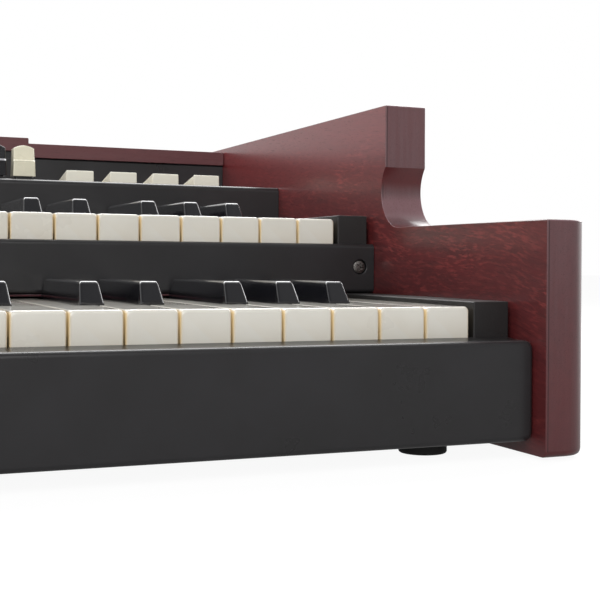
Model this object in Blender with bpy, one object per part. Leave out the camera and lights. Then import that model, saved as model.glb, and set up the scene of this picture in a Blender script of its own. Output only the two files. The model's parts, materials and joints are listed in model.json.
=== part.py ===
"""A two-manual drawbar organ with waterfall keys, wooden end cheeks and folded steel panels.

Lengths are in metres. X runs along the keyboards, Y from the player's side to the back, Z up.
The origin lies on the floor under the middle of the case. Fixed pieces are built in place, and
each moving piece is built about its own joint.
"""

import math

import bmesh
import bpy
from mathutils import Matrix, Vector

# General fits and sheet metal
SEAT = 0.0003
SHEET = 0.002
BEND_RADIUS = 0.0026
BEND_STEPS = 3
FLANGE = 0.014
SMOOTH_ANGLE = math.radians(32)

# Wooden cheeks
CASE_DEPTH = 0.552
CHEEK_THICKNESS = 0.0264
CHEEK_HEIGHT = 0.1811
ARM_HEIGHT = 0.1092
ARM_LENGTH = 0.1446
COVE_RADIUS = 0.0217
COVE_SWEEP = math.radians(130)
COVE_STEPS = 10
ARM_CORNER_RADIUS = 0.0147
ARM_CORNER_STEPS = 5

# Feet
FOOT_DROP = 0.0018
FOOT_RADIUS = 0.0116
FOOT_TAPER = 0.001
FOOT_SIDE_INSET = 0.0378
FOOT_FRONT_INSET = 0.0467
FOOT_SIDES = 20

# Keys, common to both manuals
OCTAVE_WIDTH = 0.165
OCTAVE_NATURALS = 7
LOW_GROUP = 3
HIGH_GROUP = OCTAVE_NATURALS - LOW_GROUP
NATURALS = 36
SINGLE_NATURALS = 3
KEY_PITCH = OCTAVE_WIDTH / OCTAVE_NATURALS
KEY_GAP = 0.001
KEY_LENGTH = 0.200
KEY_TAIL = 0.014
KEY_BODY = 0.012
KEY_LIP = 0.022
KEY_LIP_WALL = 0.004
KEY_NOSE_RADIUS = 0.0015
KEY_NOSE_STEPS = 2
KEY_SHOWN = 0.1468
KEY_DIP = 0.010
KEY_END_MARGIN = 0.0236
SHARP_SETBACK = 0.0507
SHARP_WIDTH = 0.0115
SHARP_TOP_WIDTH = 0.0087
SHARP_HEIGHT = 0.0109
SHARP_SLOPE_RUN = 0.0067
SHARP_NOSE = 0.0012
SHARP_CLEARANCE = 0.0009
SHARP_TAIL_DROP = 0.001
SHARP_REAR_GAP = 0.0012
SPINE_WALL = 0.005
SPINE_GAP = 0.0015
SPINE_END = 0.008
YOKE_RISE = 0.0012
YOKE_HEIGHT = 0.003
YOKE_DEPTH = 0.008
POST_SINK = 0.001

# Keybeds
BED_WALL = 0.0025
BED_TAIL = 0.012
WEB_WALL = 0.003
FULCRUM_TIP = 0.001
GUIDE_SETBACK = 0.060
GUIDE_CLEARANCE = 0.0006
UPPER_BED_LIFT = 0.007

# Panels
RAIL_SETBACK = 0.0091
RAIL_HEIGHT = 0.0466
PANEL_LIFT = 0.0067
LEDGE_DEPTH = 0.0187
LEDGE_KEY_GAP = 0.0008
LIP_SHOWN = 0.0152
MANUAL_RISE = 0.046
UPPER_LEDGE_DEPTH = 0.0057
UPPER_LIP_SHOWN = 0.0146
KEY_HEADROOM = 0.0015
FELT_DEPTH = 0.011
SHELF_RISE = 0.0278
SHELF_DEPTH = 0.1209
BACK_INSET = 0.006

# Lid
LID_DROP = 0.0037
LID_THICKNESS = 0.0092
LID_OVERHANG = 0.002
LID_BACK_INSET = 0.001
LID_CENTRE_HALF = 0.291
LID_CENTRE_RISE = 0.0047

# Blocks at the ends of the keyboards
BLOCK_GAP = 0.0021
BLOCK_WIDTH = 0.0193
BLOCK_RISE = 0.0023

# Screws at the ends of the upper front panel
SCREW_SIDE_INSET = 0.0094
SCREW_DROP = 0.0136
SCREW_HEAD_RADIUS = 0.0038
SCREW_HEAD_HEIGHT = 0.0014
SCREW_SHANK_RADIUS = 0.0017
SCREW_SHANK_LENGTH = 0.003
SCREW_HEAD_CLEARANCE = 0.0005
SCREW_SIDES = 16

# Drawbars
DRAWBARS = 9
DRAWBAR_PITCH = 0.019
DRAWBAR_SIDE_INSET = 0.1774
DRAWBAR_SETBACK = 0.0159
DRAWBAR_TRAVEL = 0.028
KNOB_WIDTH = 0.0151
KNOB_TOP_WIDTH = 0.0138
KNOB_HEIGHT = 0.021
KNOB_DEPTH = 0.012
KNOB_LIFT = 0.0028
KNOB_CREASE = 0.0105
KNOB_DOME = 0.0022
KNOB_DOME_STEPS = 6
KNOB_LEAN = math.tan(math.radians(14))
COLLAR_WIDTH = 0.0105
COLLAR_DEPTH = 0.009
BLADE_WIDTH = 0.003
BLADE_REACH = 0.011
SLOT_SIDE_CLEARANCE = 0.0004
SLOT_END_CLEARANCE = 0.0006
CHANNEL_MARGIN = 0.0015
CHANNEL_SIDE_MARGIN = 0.0095
LINK_HEIGHT = 0.004
LINK_DEPTH = 0.006

# Rocker tabs
TABS = 4
TAB_WIDTH = 0.0197
TAB_PITCH = 0.0306
TAB_SIDE_INSET = 0.0362
TAB_SETBACK = 0.0259
TAB_LENGTH = 0.037
TAB_RISE = 0.009
TAB_SLOPE = math.tan(math.radians(11.5))
TAB_PIVOT_DROP = 0.004
TAB_UNDERSIDE_DROP = 0.003
TAB_HUB_RADIUS = 0.003
TAB_HUB_STEPS = 6
TAB_SIDE_CLEARANCE = 0.0008
TAB_END_CLEARANCE = 0.0018

# Rotary knobs
ROTARY_RADIUS = 0.011
ROTARY_TOP_RADIUS = 0.0098
ROTARY_HEIGHT = 0.014
ROTARY_SHAFT_RADIUS = 0.003
ROTARY_SHAFT_CLEARANCE = 0.0004
ROTARY_SHAFT_REACH = 0.009
ROTARY_SETBACK = 0.048
ROTARY_SIDE_INSET = 0.058
ROTARY_PITCH = 0.042
ROTARIES = 2
ROTARY_SIDES = 24

# Power inlet and its switch
INLET_SIDE_INSET = 0.100
INLET_LIFT = 0.055
INLET_WIDTH = 0.027
INLET_HEIGHT = 0.050
INLET_DEPTH = 0.022
INLET_RIM = 0.004
RIM_WALL = 0.0022
CUTOUT_CLEARANCE = 0.0004
SOCKET_WIDTH = 0.0235
SOCKET_HEIGHT = 0.0165
SOCKET_DEPTH = 0.016
SOCKET_DROP = 0.0125
SWITCH_WIDTH = 0.0112
SWITCH_RADIUS = 0.0072
SWITCH_RISE = 0.013
SWITCH_PROUD = 0.0008
SWITCH_CROWN = 0.0012
SWITCH_SIDE_GAP = 0.0003
SWITCH_END_GAP = 0.0009
SWITCH_TILT = math.radians(9)
SWITCH_STEPS = 8

# Jack sockets
JACKS = 4
JACK_PITCH = 0.026
JACK_BORE_RADIUS = 0.0035
JACK_BORE_DEPTH = 0.020
JACK_BODY_HEIGHT = 0.018
JACK_BODY_DEPTH = 0.024
JACK_BODY_MARGIN = 0.015
JACK_RIM = 0.003
JACK_SIDE_INSET = 0.150
JACK_LIFT = 0.055
JACK_SIDES = 16

# Boards inside
BOARD_WIDTH = 0.240
BOARD_DEPTH = 0.110
BOARD_WALL = 0.0016
BOARD_POST = 0.006
BOARD_POST_INSET = 0.008
BOARD_SETBACK = 0.340
SUPPLY_WIDTH = 0.110
SUPPLY_DEPTH = 0.070
SUPPLY_HEIGHT = 0.034
SUPPLY_SIDE_INSET = 0.080
SUPPLY_SETBACK = 0.380

# Levels and faces worked out from the sizes above
OVERCUT = 0.002
FRONT = -CASE_DEPTH / 2
BACK = CASE_DEPTH / 2
KEYBOARD_HALF = NATURALS * KEY_PITCH / 2
INNER_HALF = KEYBOARD_HALF + KEY_END_MARGIN
PANEL_HALF = INNER_HALF - SEAT
RAIL_FACE = FRONT + RAIL_SETBACK
LOWER_FRONT = RAIL_FACE + LEDGE_DEPTH
FASCIA_FACE = LOWER_FRONT + KEY_SHOWN
UPPER_FRONT = FASCIA_FACE + UPPER_LEDGE_DEPTH
CONTROL_FACE = UPPER_FRONT + KEY_SHOWN
LID_FRONT = CONTROL_FACE + SHELF_DEPTH
SHELF_WALL = LID_FRONT + LID_OVERHANG
BACK_FACE = BACK - BACK_INSET
PANEL_BOTTOM = FOOT_DROP + PANEL_LIFT
LEDGE_TOP = PANEL_BOTTOM + RAIL_HEIGHT
LOWER_TOP = LEDGE_TOP + LIP_SHOWN
UPPER_TOP = LOWER_TOP + MANUAL_RISE
UPPER_LEDGE_TOP = UPPER_TOP - UPPER_LIP_SHOWN
SHELF_TOP = UPPER_TOP + SHELF_RISE
SHELF_UNDERSIDE = SHELF_TOP - SHEET
LID_TOP = FOOT_DROP + CHEEK_HEIGHT - LID_DROP
LID_BOTTOM = LID_TOP - LID_THICKNESS
LOWER_BED_BOTTOM = PANEL_BOTTOM + SHEET + SEAT
UPPER_BED_BOTTOM = LOWER_TOP + UPPER_BED_LIFT
UPPER_BED_FRONT = FASCIA_FACE + SHEET + SEAT
KEY_ANGLE = math.asin(KEY_DIP / KEY_LENGTH)
CHANNEL_FLOOR = SHELF_UNDERSIDE - BLADE_REACH
SINGLE_FROM = NATURALS - SINGLE_NATURALS
SIDES = {"left": -1, "right": 1}

# Places of the drawbars, tabs and knobs on the shelf
DRAWBAR_FIRST = INNER_HALF - DRAWBAR_SIDE_INSET - DRAWBAR_PITCH * (DRAWBARS - 1)
RIGHT_SET = [DRAWBAR_FIRST + DRAWBAR_PITCH * step for step in range(DRAWBARS)]
LEFT_SET = [-x for x in reversed(RIGHT_SET)]
PEDAL_SET = [-DRAWBAR_PITCH / 2, DRAWBAR_PITCH / 2]
KNOB_FRONT = CONTROL_FACE + DRAWBAR_SETBACK
BLADE_FRONT = KNOB_FRONT + (KNOB_DEPTH - COLLAR_DEPTH) / 2
TAB_FRONT = CONTROL_FACE + TAB_SETBACK
TAB_AXIS_Y = TAB_FRONT + TAB_LENGTH / 2
TAB_AXIS_Z = SHELF_TOP - TAB_PIVOT_DROP
TAB_FIRST = INNER_HALF - TAB_SIDE_INSET - TAB_WIDTH / 2 - TAB_PITCH * (TABS - 1)
TAB_XS = [TAB_FIRST + TAB_PITCH * step for step in range(TABS)]
ROTARY_Y = CONTROL_FACE + ROTARY_SETBACK
ROTARY_XS = [-INNER_HALF + ROTARY_SIDE_INSET + ROTARY_PITCH * step for step in range(ROTARIES)]

# Places of the fittings on the back
INLET_X = INNER_HALF - INLET_SIDE_INSET
INLET_Z = PANEL_BOTTOM + INLET_LIFT
RIM_BACK = BACK_FACE + SEAT + RIM_WALL
SWITCH_Y = RIM_BACK - SWITCH_PROUD
SWITCH_Z = INLET_Z + SWITCH_RISE
JACK_X = -INNER_HALF + JACK_SIDE_INSET
JACK_Z = PANEL_BOTTOM + JACK_LIFT
JACK_BODY_HALF = (JACKS - 1) * JACK_PITCH / 2 + JACK_BODY_MARGIN


def sharp_shifts(first, naturals):
    """Shift of each sharp of a group of naturals from the edge it stands over, for tails of one width."""
    tail = naturals * KEY_PITCH / (2 * naturals - 1)
    edges = range(1, naturals)
    return {first + edge - 1: 2 * edge * tail - tail / 2 - edge * KEY_PITCH for edge in edges}


SHARP_SHIFT = {**sharp_shifts(0, LOW_GROUP), **sharp_shifts(LOW_GROUP, HIGH_GROUP)}


# Mesh tools
def finished_mesh(shape, name):
    """Mesh of a bmesh shape with outward faces, smooth where it is round."""
    bmesh.ops.recalc_face_normals(shape, faces=shape.faces)
    mesh = bpy.data.meshes.new(name)
    shape.to_mesh(mesh)
    shape.free()
    mesh.shade_smooth()
    mesh.set_sharp_from_angle(angle=SMOOTH_ANGLE)
    return mesh


def loft(loop_a, loop_b, panels=None):
    """Closed solid between two matching loops; panels lists the flat faces of each end."""
    shape = bmesh.new()
    ring_a = [shape.verts.new(point) for point in loop_a]
    ring_b = [shape.verts.new(point) for point in loop_b]
    count = len(ring_a)
    for i in range(count):
        j = (i + 1) % count
        shape.faces.new((ring_a[i], ring_a[j], ring_b[j], ring_b[i]))
    for panel in panels or [range(count)]:
        shape.faces.new([ring_a[i] for i in panel])
        shape.faces.new([ring_b[i] for i in panel])
    return finished_mesh(shape, "solid")


def prism_x(outline, x_low, x_high):
    """Solid of a side outline of (y, z) points carried from x_low to x_high."""
    return loft([(x_low, y, z) for y, z in outline], [(x_high, y, z) for y, z in outline])


def prism_y(outline, y_low, y_high):
    """Solid of a front outline of (x, z) points carried from y_low to y_high."""
    return loft([(x, y_low, z) for x, z in outline], [(x, y_high, z) for x, z in outline])


def box(x_span, y_span, z_span):
    """Rectangular solid between three pairs of limits."""
    y_low, y_high = y_span
    z_low, z_high = z_span
    outline = [(y_low, z_low), (y_high, z_low), (y_high, z_high), (y_low, z_high)]
    return prism_x(outline, *x_span)


def arc(centre, radius, start, end, steps):
    """Points of an arc, both ends included."""
    angles = [start + (end - start) * step / steps for step in range(steps + 1)]
    return [(centre[0] + radius * math.cos(a), centre[1] + radius * math.sin(a)) for a in angles]


def round_bar(profile, axis, place, sides):
    """Turned solid: (radius, distance along the axis) pairs swept round an axis through a place."""
    across, upward = {"Y": ((1, 0, 0), (0, 0, 1)), "Z": ((1, 0, 0), (0, 1, 0))}[axis]
    along = Vector(across).cross(Vector(upward)) * (-1 if axis == "Y" else 1)
    shape = bmesh.new()
    rings = []
    for radius, distance in profile:
        ring = []
        for side in range(sides):
            turn = 2 * math.pi * side / sides
            spoke = Vector(across) * math.cos(turn) + Vector(upward) * math.sin(turn)
            ring.append(shape.verts.new(Vector(place) + spoke * radius + along * distance))
        rings.append(ring)
    for lower, upper in zip(rings, rings[1:]):
        for i in range(sides):
            j = (i + 1) % sides
            shape.faces.new((lower[i], lower[j], upper[j], upper[i]))
    shape.faces.new(rings[0])
    shape.faces.new(rings[-1])
    return finished_mesh(shape, "round_bar")


def right_of(direction):
    """Unit vector to the right of a direction in a (y, z) plane."""
    return Vector((direction.y, -direction.x))


def folded_outline(path):
    """Outline of a folded sheet whose outer side follows a path of (y, z) corners.

    The wall lies to the right of the path. The convex side of each fold has BEND_RADIUS.
    """
    points = [Vector(point) for point in path]
    heading = (points[1] - points[0]).normalized()
    outer = [points[0]]
    inner = [points[0] + SHEET * right_of(heading)]
    for before, corner, after in zip(points, points[1:], points[2:]):
        arriving = (corner - before).normalized()
        leaving = (after - corner).normalized()
        turn = math.acos(max(-1.0, min(1.0, arriving.dot(leaving))))
        side = 1 if arriving.cross(leaving) < 0 else -1
        outer_radius = BEND_RADIUS if side > 0 else BEND_RADIUS - SHEET
        inner_radius = BEND_RADIUS - SHEET if side > 0 else BEND_RADIUS
        start = corner - arriving * outer_radius * math.tan(turn / 2)
        centre = start + side * right_of(arriving) * outer_radius
        for step in range(BEND_STEPS + 1):
            turned = Matrix.Rotation(-side * turn * step / BEND_STEPS, 2)
            spoke = turned @ (-side * right_of(arriving))
            outer.append(centre + spoke * outer_radius)
            inner.append(centre + spoke * inner_radius)
    heading = (points[-1] - points[-2]).normalized()
    outer.append(points[-1])
    inner.append(points[-1] + SHEET * right_of(heading))
    return [tuple(point) for point in outer + inner[::-1]]


def merged(placed):
    """One mesh holding separate copies of (mesh, offset) pairs."""
    shape = bmesh.new()
    for mesh, offset in placed:
        known = len(shape.verts)
        shape.from_mesh(mesh)
        shape.verts.ensure_lookup_table()
        bmesh.ops.translate(shape, vec=offset, verts=shape.verts[known:])
    return finished_mesh(shape, "group")


def combined(operation, body, *tools):
    """Mesh of a body with each tool joined on (UNION) or cut away (DIFFERENCE)."""
    collection = bpy.context.scene.collection
    workpiece = bpy.data.objects.new("workpiece", body)
    collection.objects.link(workpiece)
    helpers = [workpiece]
    for tool in tools:
        helper = bpy.data.objects.new("tool", tool)
        collection.objects.link(helper)
        helpers.append(helper)
        cut = workpiece.modifiers.new("combine", "BOOLEAN")
        cut.operation = operation
        cut.solver = "EXACT"
        cut.object = helper
    bpy.context.view_layer.update()
    graph = bpy.context.evaluated_depsgraph_get()
    result = bpy.data.meshes.new_from_object(workpiece.evaluated_get(graph))
    for helper in helpers:
        bpy.data.objects.remove(helper)
    result.shade_smooth()
    result.set_sharp_from_angle(angle=SMOOTH_ANGLE)
    return result


def add_part(name, mesh, finish, place=(0, 0, 0)):
    """Puts a mesh in the scene as a named part with its own finish."""
    part = bpy.data.objects.new(name, mesh)
    bpy.context.scene.collection.objects.link(part)
    part.location = place
    if not mesh.materials:
        mesh.materials.append(finish)
    part.material_slots[0].link = "OBJECT"
    part.material_slots[0].material = finish
    return part


def make_finish(name, colour, roughness, metallic=0.0):
    """Plain finish of one colour."""
    finish = bpy.data.materials.new(name)
    finish.use_nodes = True
    shader = finish.node_tree.nodes["Principled BSDF"]
    shader.inputs["Base Color"].default_value = (*colour, 1.0)
    shader.inputs["Roughness"].default_value = roughness
    shader.inputs["Metallic"].default_value = metallic
    return finish


# Wooden cheeks and lid
def cheek_mesh(side):
    """End cheek: an arm rest, a concave cove and a tall rear part, rounded at its outer front corner."""
    bottom = FOOT_DROP
    arm_top = bottom + ARM_HEIGHT
    cove_centre = (FRONT + ARM_LENGTH, arm_top + COVE_RADIUS)
    cove = arc(cove_centre, COVE_RADIUS, -math.pi / 2, COVE_SWEEP - math.pi / 2, COVE_STEPS)
    riser = cove[-1][0]
    top = bottom + CHEEK_HEIGHT
    outline = [(FRONT, bottom), (BACK, bottom), (BACK, top), (riser, top), *cove[::-1], (FRONT, arm_top)]
    outer = side * (INNER_HALF + CHEEK_THICKNESS)
    block = prism_x(outline, side * INNER_HALF, outer)
    shape = bmesh.new()
    shape.from_mesh(block)
    corner = [
        edge
        for edge in shape.edges
        if all(abs(v.co.x - outer) < SEAT and abs(v.co.y - FRONT) < SEAT for v in edge.verts)
    ]
    bmesh.ops.bevel(
        shape,
        geom=corner,
        offset=ARM_CORNER_RADIUS,
        segments=ARM_CORNER_STEPS,
        profile=0.5,
        affect="EDGES",
    )
    return finished_mesh(shape, "cheek")


def lid_mesh():
    """Lid board between the cheeks with its raised middle part."""
    rise = LID_TOP + LID_CENTRE_RISE
    outline = [
        (-PANEL_HALF, LID_BOTTOM),
        (PANEL_HALF, LID_BOTTOM),
        (PANEL_HALF, LID_TOP),
        (LID_CENTRE_HALF, LID_TOP),
        (LID_CENTRE_HALF, rise),
        (-LID_CENTRE_HALF, rise),
        (-LID_CENTRE_HALF, LID_TOP),
        (-PANEL_HALF, LID_TOP),
    ]
    return prism_y(outline, LID_FRONT, BACK - LID_BACK_INSET)


# Folded panels
def front_rail_mesh():
    """Lower front rail: bottom flange, face and the ledge in front of the lower keys."""
    path = [
        (RAIL_FACE + FLANGE, PANEL_BOTTOM),
        (RAIL_FACE, PANEL_BOTTOM),
        (RAIL_FACE, LEDGE_TOP),
        (LOWER_FRONT - LEDGE_KEY_GAP, LEDGE_TOP),
    ]
    return prism_x(folded_outline(path), -PANEL_HALF, PANEL_HALF)


def screw_places():
    """Centres of the two screws of the upper front panel, on its face."""
    x = INNER_HALF - SCREW_SIDE_INSET
    return {side: (sign * x, FASCIA_FACE, UPPER_LEDGE_TOP - SCREW_DROP) for side, sign in SIDES.items()}


def upper_front_panel_mesh():
    """Upper front panel: bottom flange over the felt, face with two screw recesses, and ledge."""
    bottom = LOWER_TOP + KEY_HEADROOM
    path = [
        (FASCIA_FACE + FLANGE, bottom),
        (FASCIA_FACE, bottom),
        (FASCIA_FACE, UPPER_LEDGE_TOP),
        (UPPER_FRONT - LEDGE_KEY_GAP, UPPER_LEDGE_TOP),
    ]
    sheet = prism_x(folded_outline(path), -PANEL_HALF, PANEL_HALF)
    radius = SCREW_HEAD_RADIUS + SCREW_HEAD_CLEARANCE
    profile = [(radius, -OVERCUT), (radius, SHEET + SEAT / 2)]
    recesses = [round_bar(profile, "Y", place, SCREW_SIDES) for place in screw_places().values()]
    return combined("DIFFERENCE", sheet, *recesses)


def control_panel_mesh():
    """Control panel: face over the upper keys, shelf of controls, rear wall and flange under the lid."""
    bottom = UPPER_TOP + KEY_HEADROOM
    top = LID_BOTTOM - SEAT
    path = [
        (CONTROL_FACE + FLANGE, bottom),
        (CONTROL_FACE, bottom),
        (CONTROL_FACE, SHELF_TOP),
        (SHELF_WALL, SHELF_TOP),
        (SHELF_WALL, top),
        (SHELF_WALL + FLANGE, top),
    ]
    sheet = prism_x(folded_outline(path), -PANEL_HALF, PANEL_HALF)
    z_span = (SHELF_UNDERSIDE - OVERCUT, SHELF_TOP + OVERCUT)
    slot_half = BLADE_WIDTH / 2 + SLOT_SIDE_CLEARANCE
    slot_back = BLADE_FRONT + COLLAR_DEPTH + DRAWBAR_TRAVEL + SLOT_END_CLEARANCE
    slot_span = (BLADE_FRONT - SLOT_END_CLEARANCE, slot_back)
    slots = [box((x - slot_half, x + slot_half), slot_span, z_span) for x in LEFT_SET + PEDAL_SET + RIGHT_SET]
    tab_half = TAB_WIDTH / 2 + TAB_SIDE_CLEARANCE
    tab_span = (TAB_FRONT - TAB_END_CLEARANCE, TAB_FRONT + TAB_LENGTH + TAB_END_CLEARANCE)
    windows = [box((x - tab_half, x + tab_half), tab_span, z_span) for x in TAB_XS]
    hole = ROTARY_SHAFT_RADIUS + ROTARY_SHAFT_CLEARANCE
    depth = [(hole, -SHEET - OVERCUT), (hole, OVERCUT)]
    holes = [round_bar(depth, "Z", (x, ROTARY_Y, SHELF_TOP), SCREW_SIDES) for x in ROTARY_XS]
    return combined("DIFFERENCE", sheet, merged([(tool, (0, 0, 0)) for tool in slots + windows + holes]))


def channel_mesh(x_span, y_span, floor):
    """U-shaped channel open upwards, hung under the shelf; floor is its inner floor."""
    y_low, y_high = y_span
    top = SHELF_UNDERSIDE - SEAT
    path = [
        (y_high + SHEET, top),
        (y_high + SHEET, floor - SHEET),
        (y_low - SHEET, floor - SHEET),
        (y_low - SHEET, top),
    ]
    return prism_x(folded_outline(path), *x_span)


def back_panel_mesh():
    """Back panel with flanges under the lid and beside the bottom pan, and cut-outs for its fittings."""
    top = LID_BOTTOM - SEAT
    path = [
        (BACK_FACE - FLANGE, top),
        (BACK_FACE, top),
        (BACK_FACE, PANEL_BOTTOM),
        (BACK_FACE - FLANGE, PANEL_BOTTOM),
    ]
    sheet = prism_x(folded_outline(path), -PANEL_HALF, PANEL_HALF)
    y_span = (BACK_FACE - SHEET - OVERCUT, BACK_FACE + OVERCUT)
    inlet = box(
        (INLET_X - INLET_WIDTH / 2 - CUTOUT_CLEARANCE, INLET_X + INLET_WIDTH / 2 + CUTOUT_CLEARANCE),
        y_span,
        (INLET_Z - INLET_HEIGHT / 2 - CUTOUT_CLEARANCE, INLET_Z + INLET_HEIGHT / 2 + CUTOUT_CLEARANCE),
    )
    jacks = box(
        (JACK_X - JACK_BODY_HALF - CUTOUT_CLEARANCE, JACK_X + JACK_BODY_HALF + CUTOUT_CLEARANCE),
        y_span,
        (JACK_Z - JACK_BODY_HEIGHT / 2 - CUTOUT_CLEARANCE, JACK_Z + JACK_BODY_HEIGHT / 2 + CUTOUT_CLEARANCE),
    )
    return combined("DIFFERENCE", sheet, merged([(inlet, (0, 0, 0)), (jacks, (0, 0, 0))]))


def bottom_pan_mesh():
    """Flat sheet between the flanges of the front rail and the back panel."""
    y_span = (RAIL_FACE + FLANGE + SEAT, BACK_FACE - FLANGE - SEAT)
    return box((-PANEL_HALF, PANEL_HALF), y_span, (PANEL_BOTTOM, PANEL_BOTTOM + SHEET))


# Keybeds
def keybed_mesh(front_y, key_front, key_top, bottom, flanged):
    """Plate with a guide web under the key fronts and a fulcrum ridge that the keys rock on."""
    fulcrum = key_front + KEY_LENGTH
    underside = key_top - KEY_BODY
    root = bottom + BED_WALL / 2
    ridge_top = underside - SEAT
    shoulder = ridge_top - (WEB_WALL - FULCRUM_TIP) / 2
    ridge = [
        (fulcrum - WEB_WALL / 2, root),
        (fulcrum + WEB_WALL / 2, root),
        (fulcrum + WEB_WALL / 2, shoulder),
        (fulcrum + FULCRUM_TIP / 2, ridge_top),
        (fulcrum - FULCRUM_TIP / 2, ridge_top),
        (fulcrum - WEB_WALL / 2, shoulder),
    ]
    guide_y = key_front + GUIDE_SETBACK
    guide_top = underside - (fulcrum - guide_y) * math.sin(KEY_ANGLE) - GUIDE_CLEARANCE
    half = KEYBOARD_HALF
    webs = [
        prism_x(ridge, -half, half),
        box((-half, half), (guide_y, guide_y + WEB_WALL), (root, guide_top)),
    ]
    plate = box((-PANEL_HALF, PANEL_HALF), (front_y, fulcrum + BED_TAIL), (bottom, bottom + BED_WALL))
    if not flanged:
        return combined("UNION", plate, *webs)
    flange = box(
        (-PANEL_HALF, PANEL_HALF),
        (front_y, front_y + BED_WALL),
        (root, UPPER_LEDGE_TOP - SHEET - SEAT),
    )
    bed = combined("UNION", plate, flange, *webs)
    radius = SCREW_SHANK_RADIUS + SEAT
    profile = [(radius, 0), (radius, SHEET + SEAT + BED_WALL + OVERCUT)]
    holes = [(round_bar(profile, "Y", place, SCREW_SIDES), (0, 0, 0)) for place in screw_places().values()]
    return combined("DIFFERENCE", bed, merged(holes))


# Keys, about the edge that they rock on
def natural_blank():
    """Natural key before its notches: flat top, rounded nose, deep front lip and slim body."""
    front = -KEY_LENGTH
    nose_centre = (front + KEY_NOSE_RADIUS, KEY_BODY - KEY_NOSE_RADIUS)
    outline = [
        (front, KEY_BODY - KEY_LIP),
        (front + KEY_LIP_WALL, KEY_BODY - KEY_LIP),
        (front + KEY_LIP_WALL, 0),
        (KEY_TAIL, 0),
        (KEY_TAIL, KEY_BODY),
        *arc(nose_centre, KEY_NOSE_RADIUS, math.pi / 2, math.pi, KEY_NOSE_STEPS),
    ]
    half = (KEY_PITCH - KEY_GAP) / 2
    return prism_x(outline, -half, half)


def natural_mesh(index):
    """Natural key number index with the notches that its neighbouring sharps need."""
    half_notch = SHARP_WIDTH / 2 + SHARP_CLEARANCE
    y_span = (-KEY_LENGTH + SHARP_SETBACK - SHARP_CLEARANCE, KEY_TAIL + OVERCUT)
    z_span = (-OVERCUT, KEY_BODY + OVERCUT)
    notches = []
    if has_sharp(index):
        centre = KEY_PITCH / 2 + SHARP_SHIFT[index % OCTAVE_NATURALS]
        notches.append((centre - half_notch, KEY_PITCH))
    if has_sharp(index - 1):
        centre = -KEY_PITCH / 2 + SHARP_SHIFT[(index - 1) % OCTAVE_NATURALS]
        notches.append((-KEY_PITCH, centre + half_notch))
    return combined("DIFFERENCE", natural_blank(), *[box(x_span, y_span, z_span) for x_span in notches])


def has_sharp(index):
    """Whether a sharp stands on the right of a natural."""
    return 0 <= index < NATURALS - 1 and index % OCTAVE_NATURALS in SHARP_SHIFT


def natural_x(index):
    """Centre of a natural key."""
    return (index + 0.5) * KEY_PITCH - KEYBOARD_HALF


def sharp_x(index):
    """Centre of the sharp on the right of a natural key."""
    return (index + 1) * KEY_PITCH + SHARP_SHIFT[index % OCTAVE_NATURALS] - KEYBOARD_HALF


def sharp_mesh():
    """Sharp key: raised tapering block with a sloped front, and a slim body under the next panel."""
    front = -KEY_LENGTH + SHARP_SETBACK
    rear = -KEY_LENGTH + KEY_SHOWN - SHARP_REAR_GAP
    tail = KEY_TAIL - SPINE_WALL - SPINE_GAP
    top = KEY_BODY + SHARP_HEIGHT
    narrowing = (SHARP_WIDTH - SHARP_TOP_WIDTH) / 2 / SHARP_HEIGHT
    outline = [
        (front, 0),
        (front, KEY_BODY),
        (front, KEY_BODY + SHARP_NOSE),
        (front + SHARP_SLOPE_RUN, top),
        (rear, top),
        (rear, KEY_BODY),
        (rear, KEY_BODY - SHARP_TAIL_DROP),
        (tail, KEY_BODY - SHARP_TAIL_DROP),
        (tail, 0),
    ]
    halves = [SHARP_WIDTH / 2 - narrowing * max(0.0, z - KEY_BODY) for _, z in outline]
    left = [(-half, y, z) for half, (y, z) in zip(halves, outline)]
    right = [(half, y, z) for half, (y, z) in zip(halves, outline)]
    return loft(left, right, panels=[(0, 1, 5, 6, 7, 8), (1, 2, 3, 4, 5)])


def natural_bank_mesh(meshes):
    """The naturals below the single keys, joined by a spine at their tails."""
    keys = merged([(meshes[i], (natural_x(i), 0, 0)) for i in range(SINGLE_FROM)])
    x_span = (natural_x(0) - SPINE_END, natural_x(SINGLE_FROM - 1))
    spine = box(x_span, (KEY_TAIL - SPINE_WALL, KEY_TAIL + SPINE_GAP), (SEAT, KEY_BODY - SEAT))
    return combined("UNION", spine, keys)


def sharp_bank_mesh(sharp):
    """The sharps below the single keys, joined by a yoke that passes over the naturals' tails."""
    places = [i for i in range(SINGLE_FROM - 1) if has_sharp(i)]
    keys = merged([(sharp, (sharp_x(i), 0, 0)) for i in places])
    yoke_bottom = KEY_BODY + YOKE_RISE
    yoke_top = yoke_bottom + YOKE_HEIGHT
    post_half = SHARP_TOP_WIDTH / 2
    root = KEY_BODY / 2
    half_depth = YOKE_DEPTH / 2
    inner_depth = half_depth - SHARP_TAIL_DROP
    post = box((-post_half, post_half), (-inner_depth, inner_depth), (root, yoke_top - POST_SINK))
    posts = merged([(post, (sharp_x(i), 0, 0)) for i in places])
    x_span = (sharp_x(places[0]) - post_half, sharp_x(places[-1]) + post_half)
    yoke = box(x_span, (-half_depth, half_depth), (yoke_bottom, yoke_top))
    return combined("UNION", yoke, posts, keys)


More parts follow.
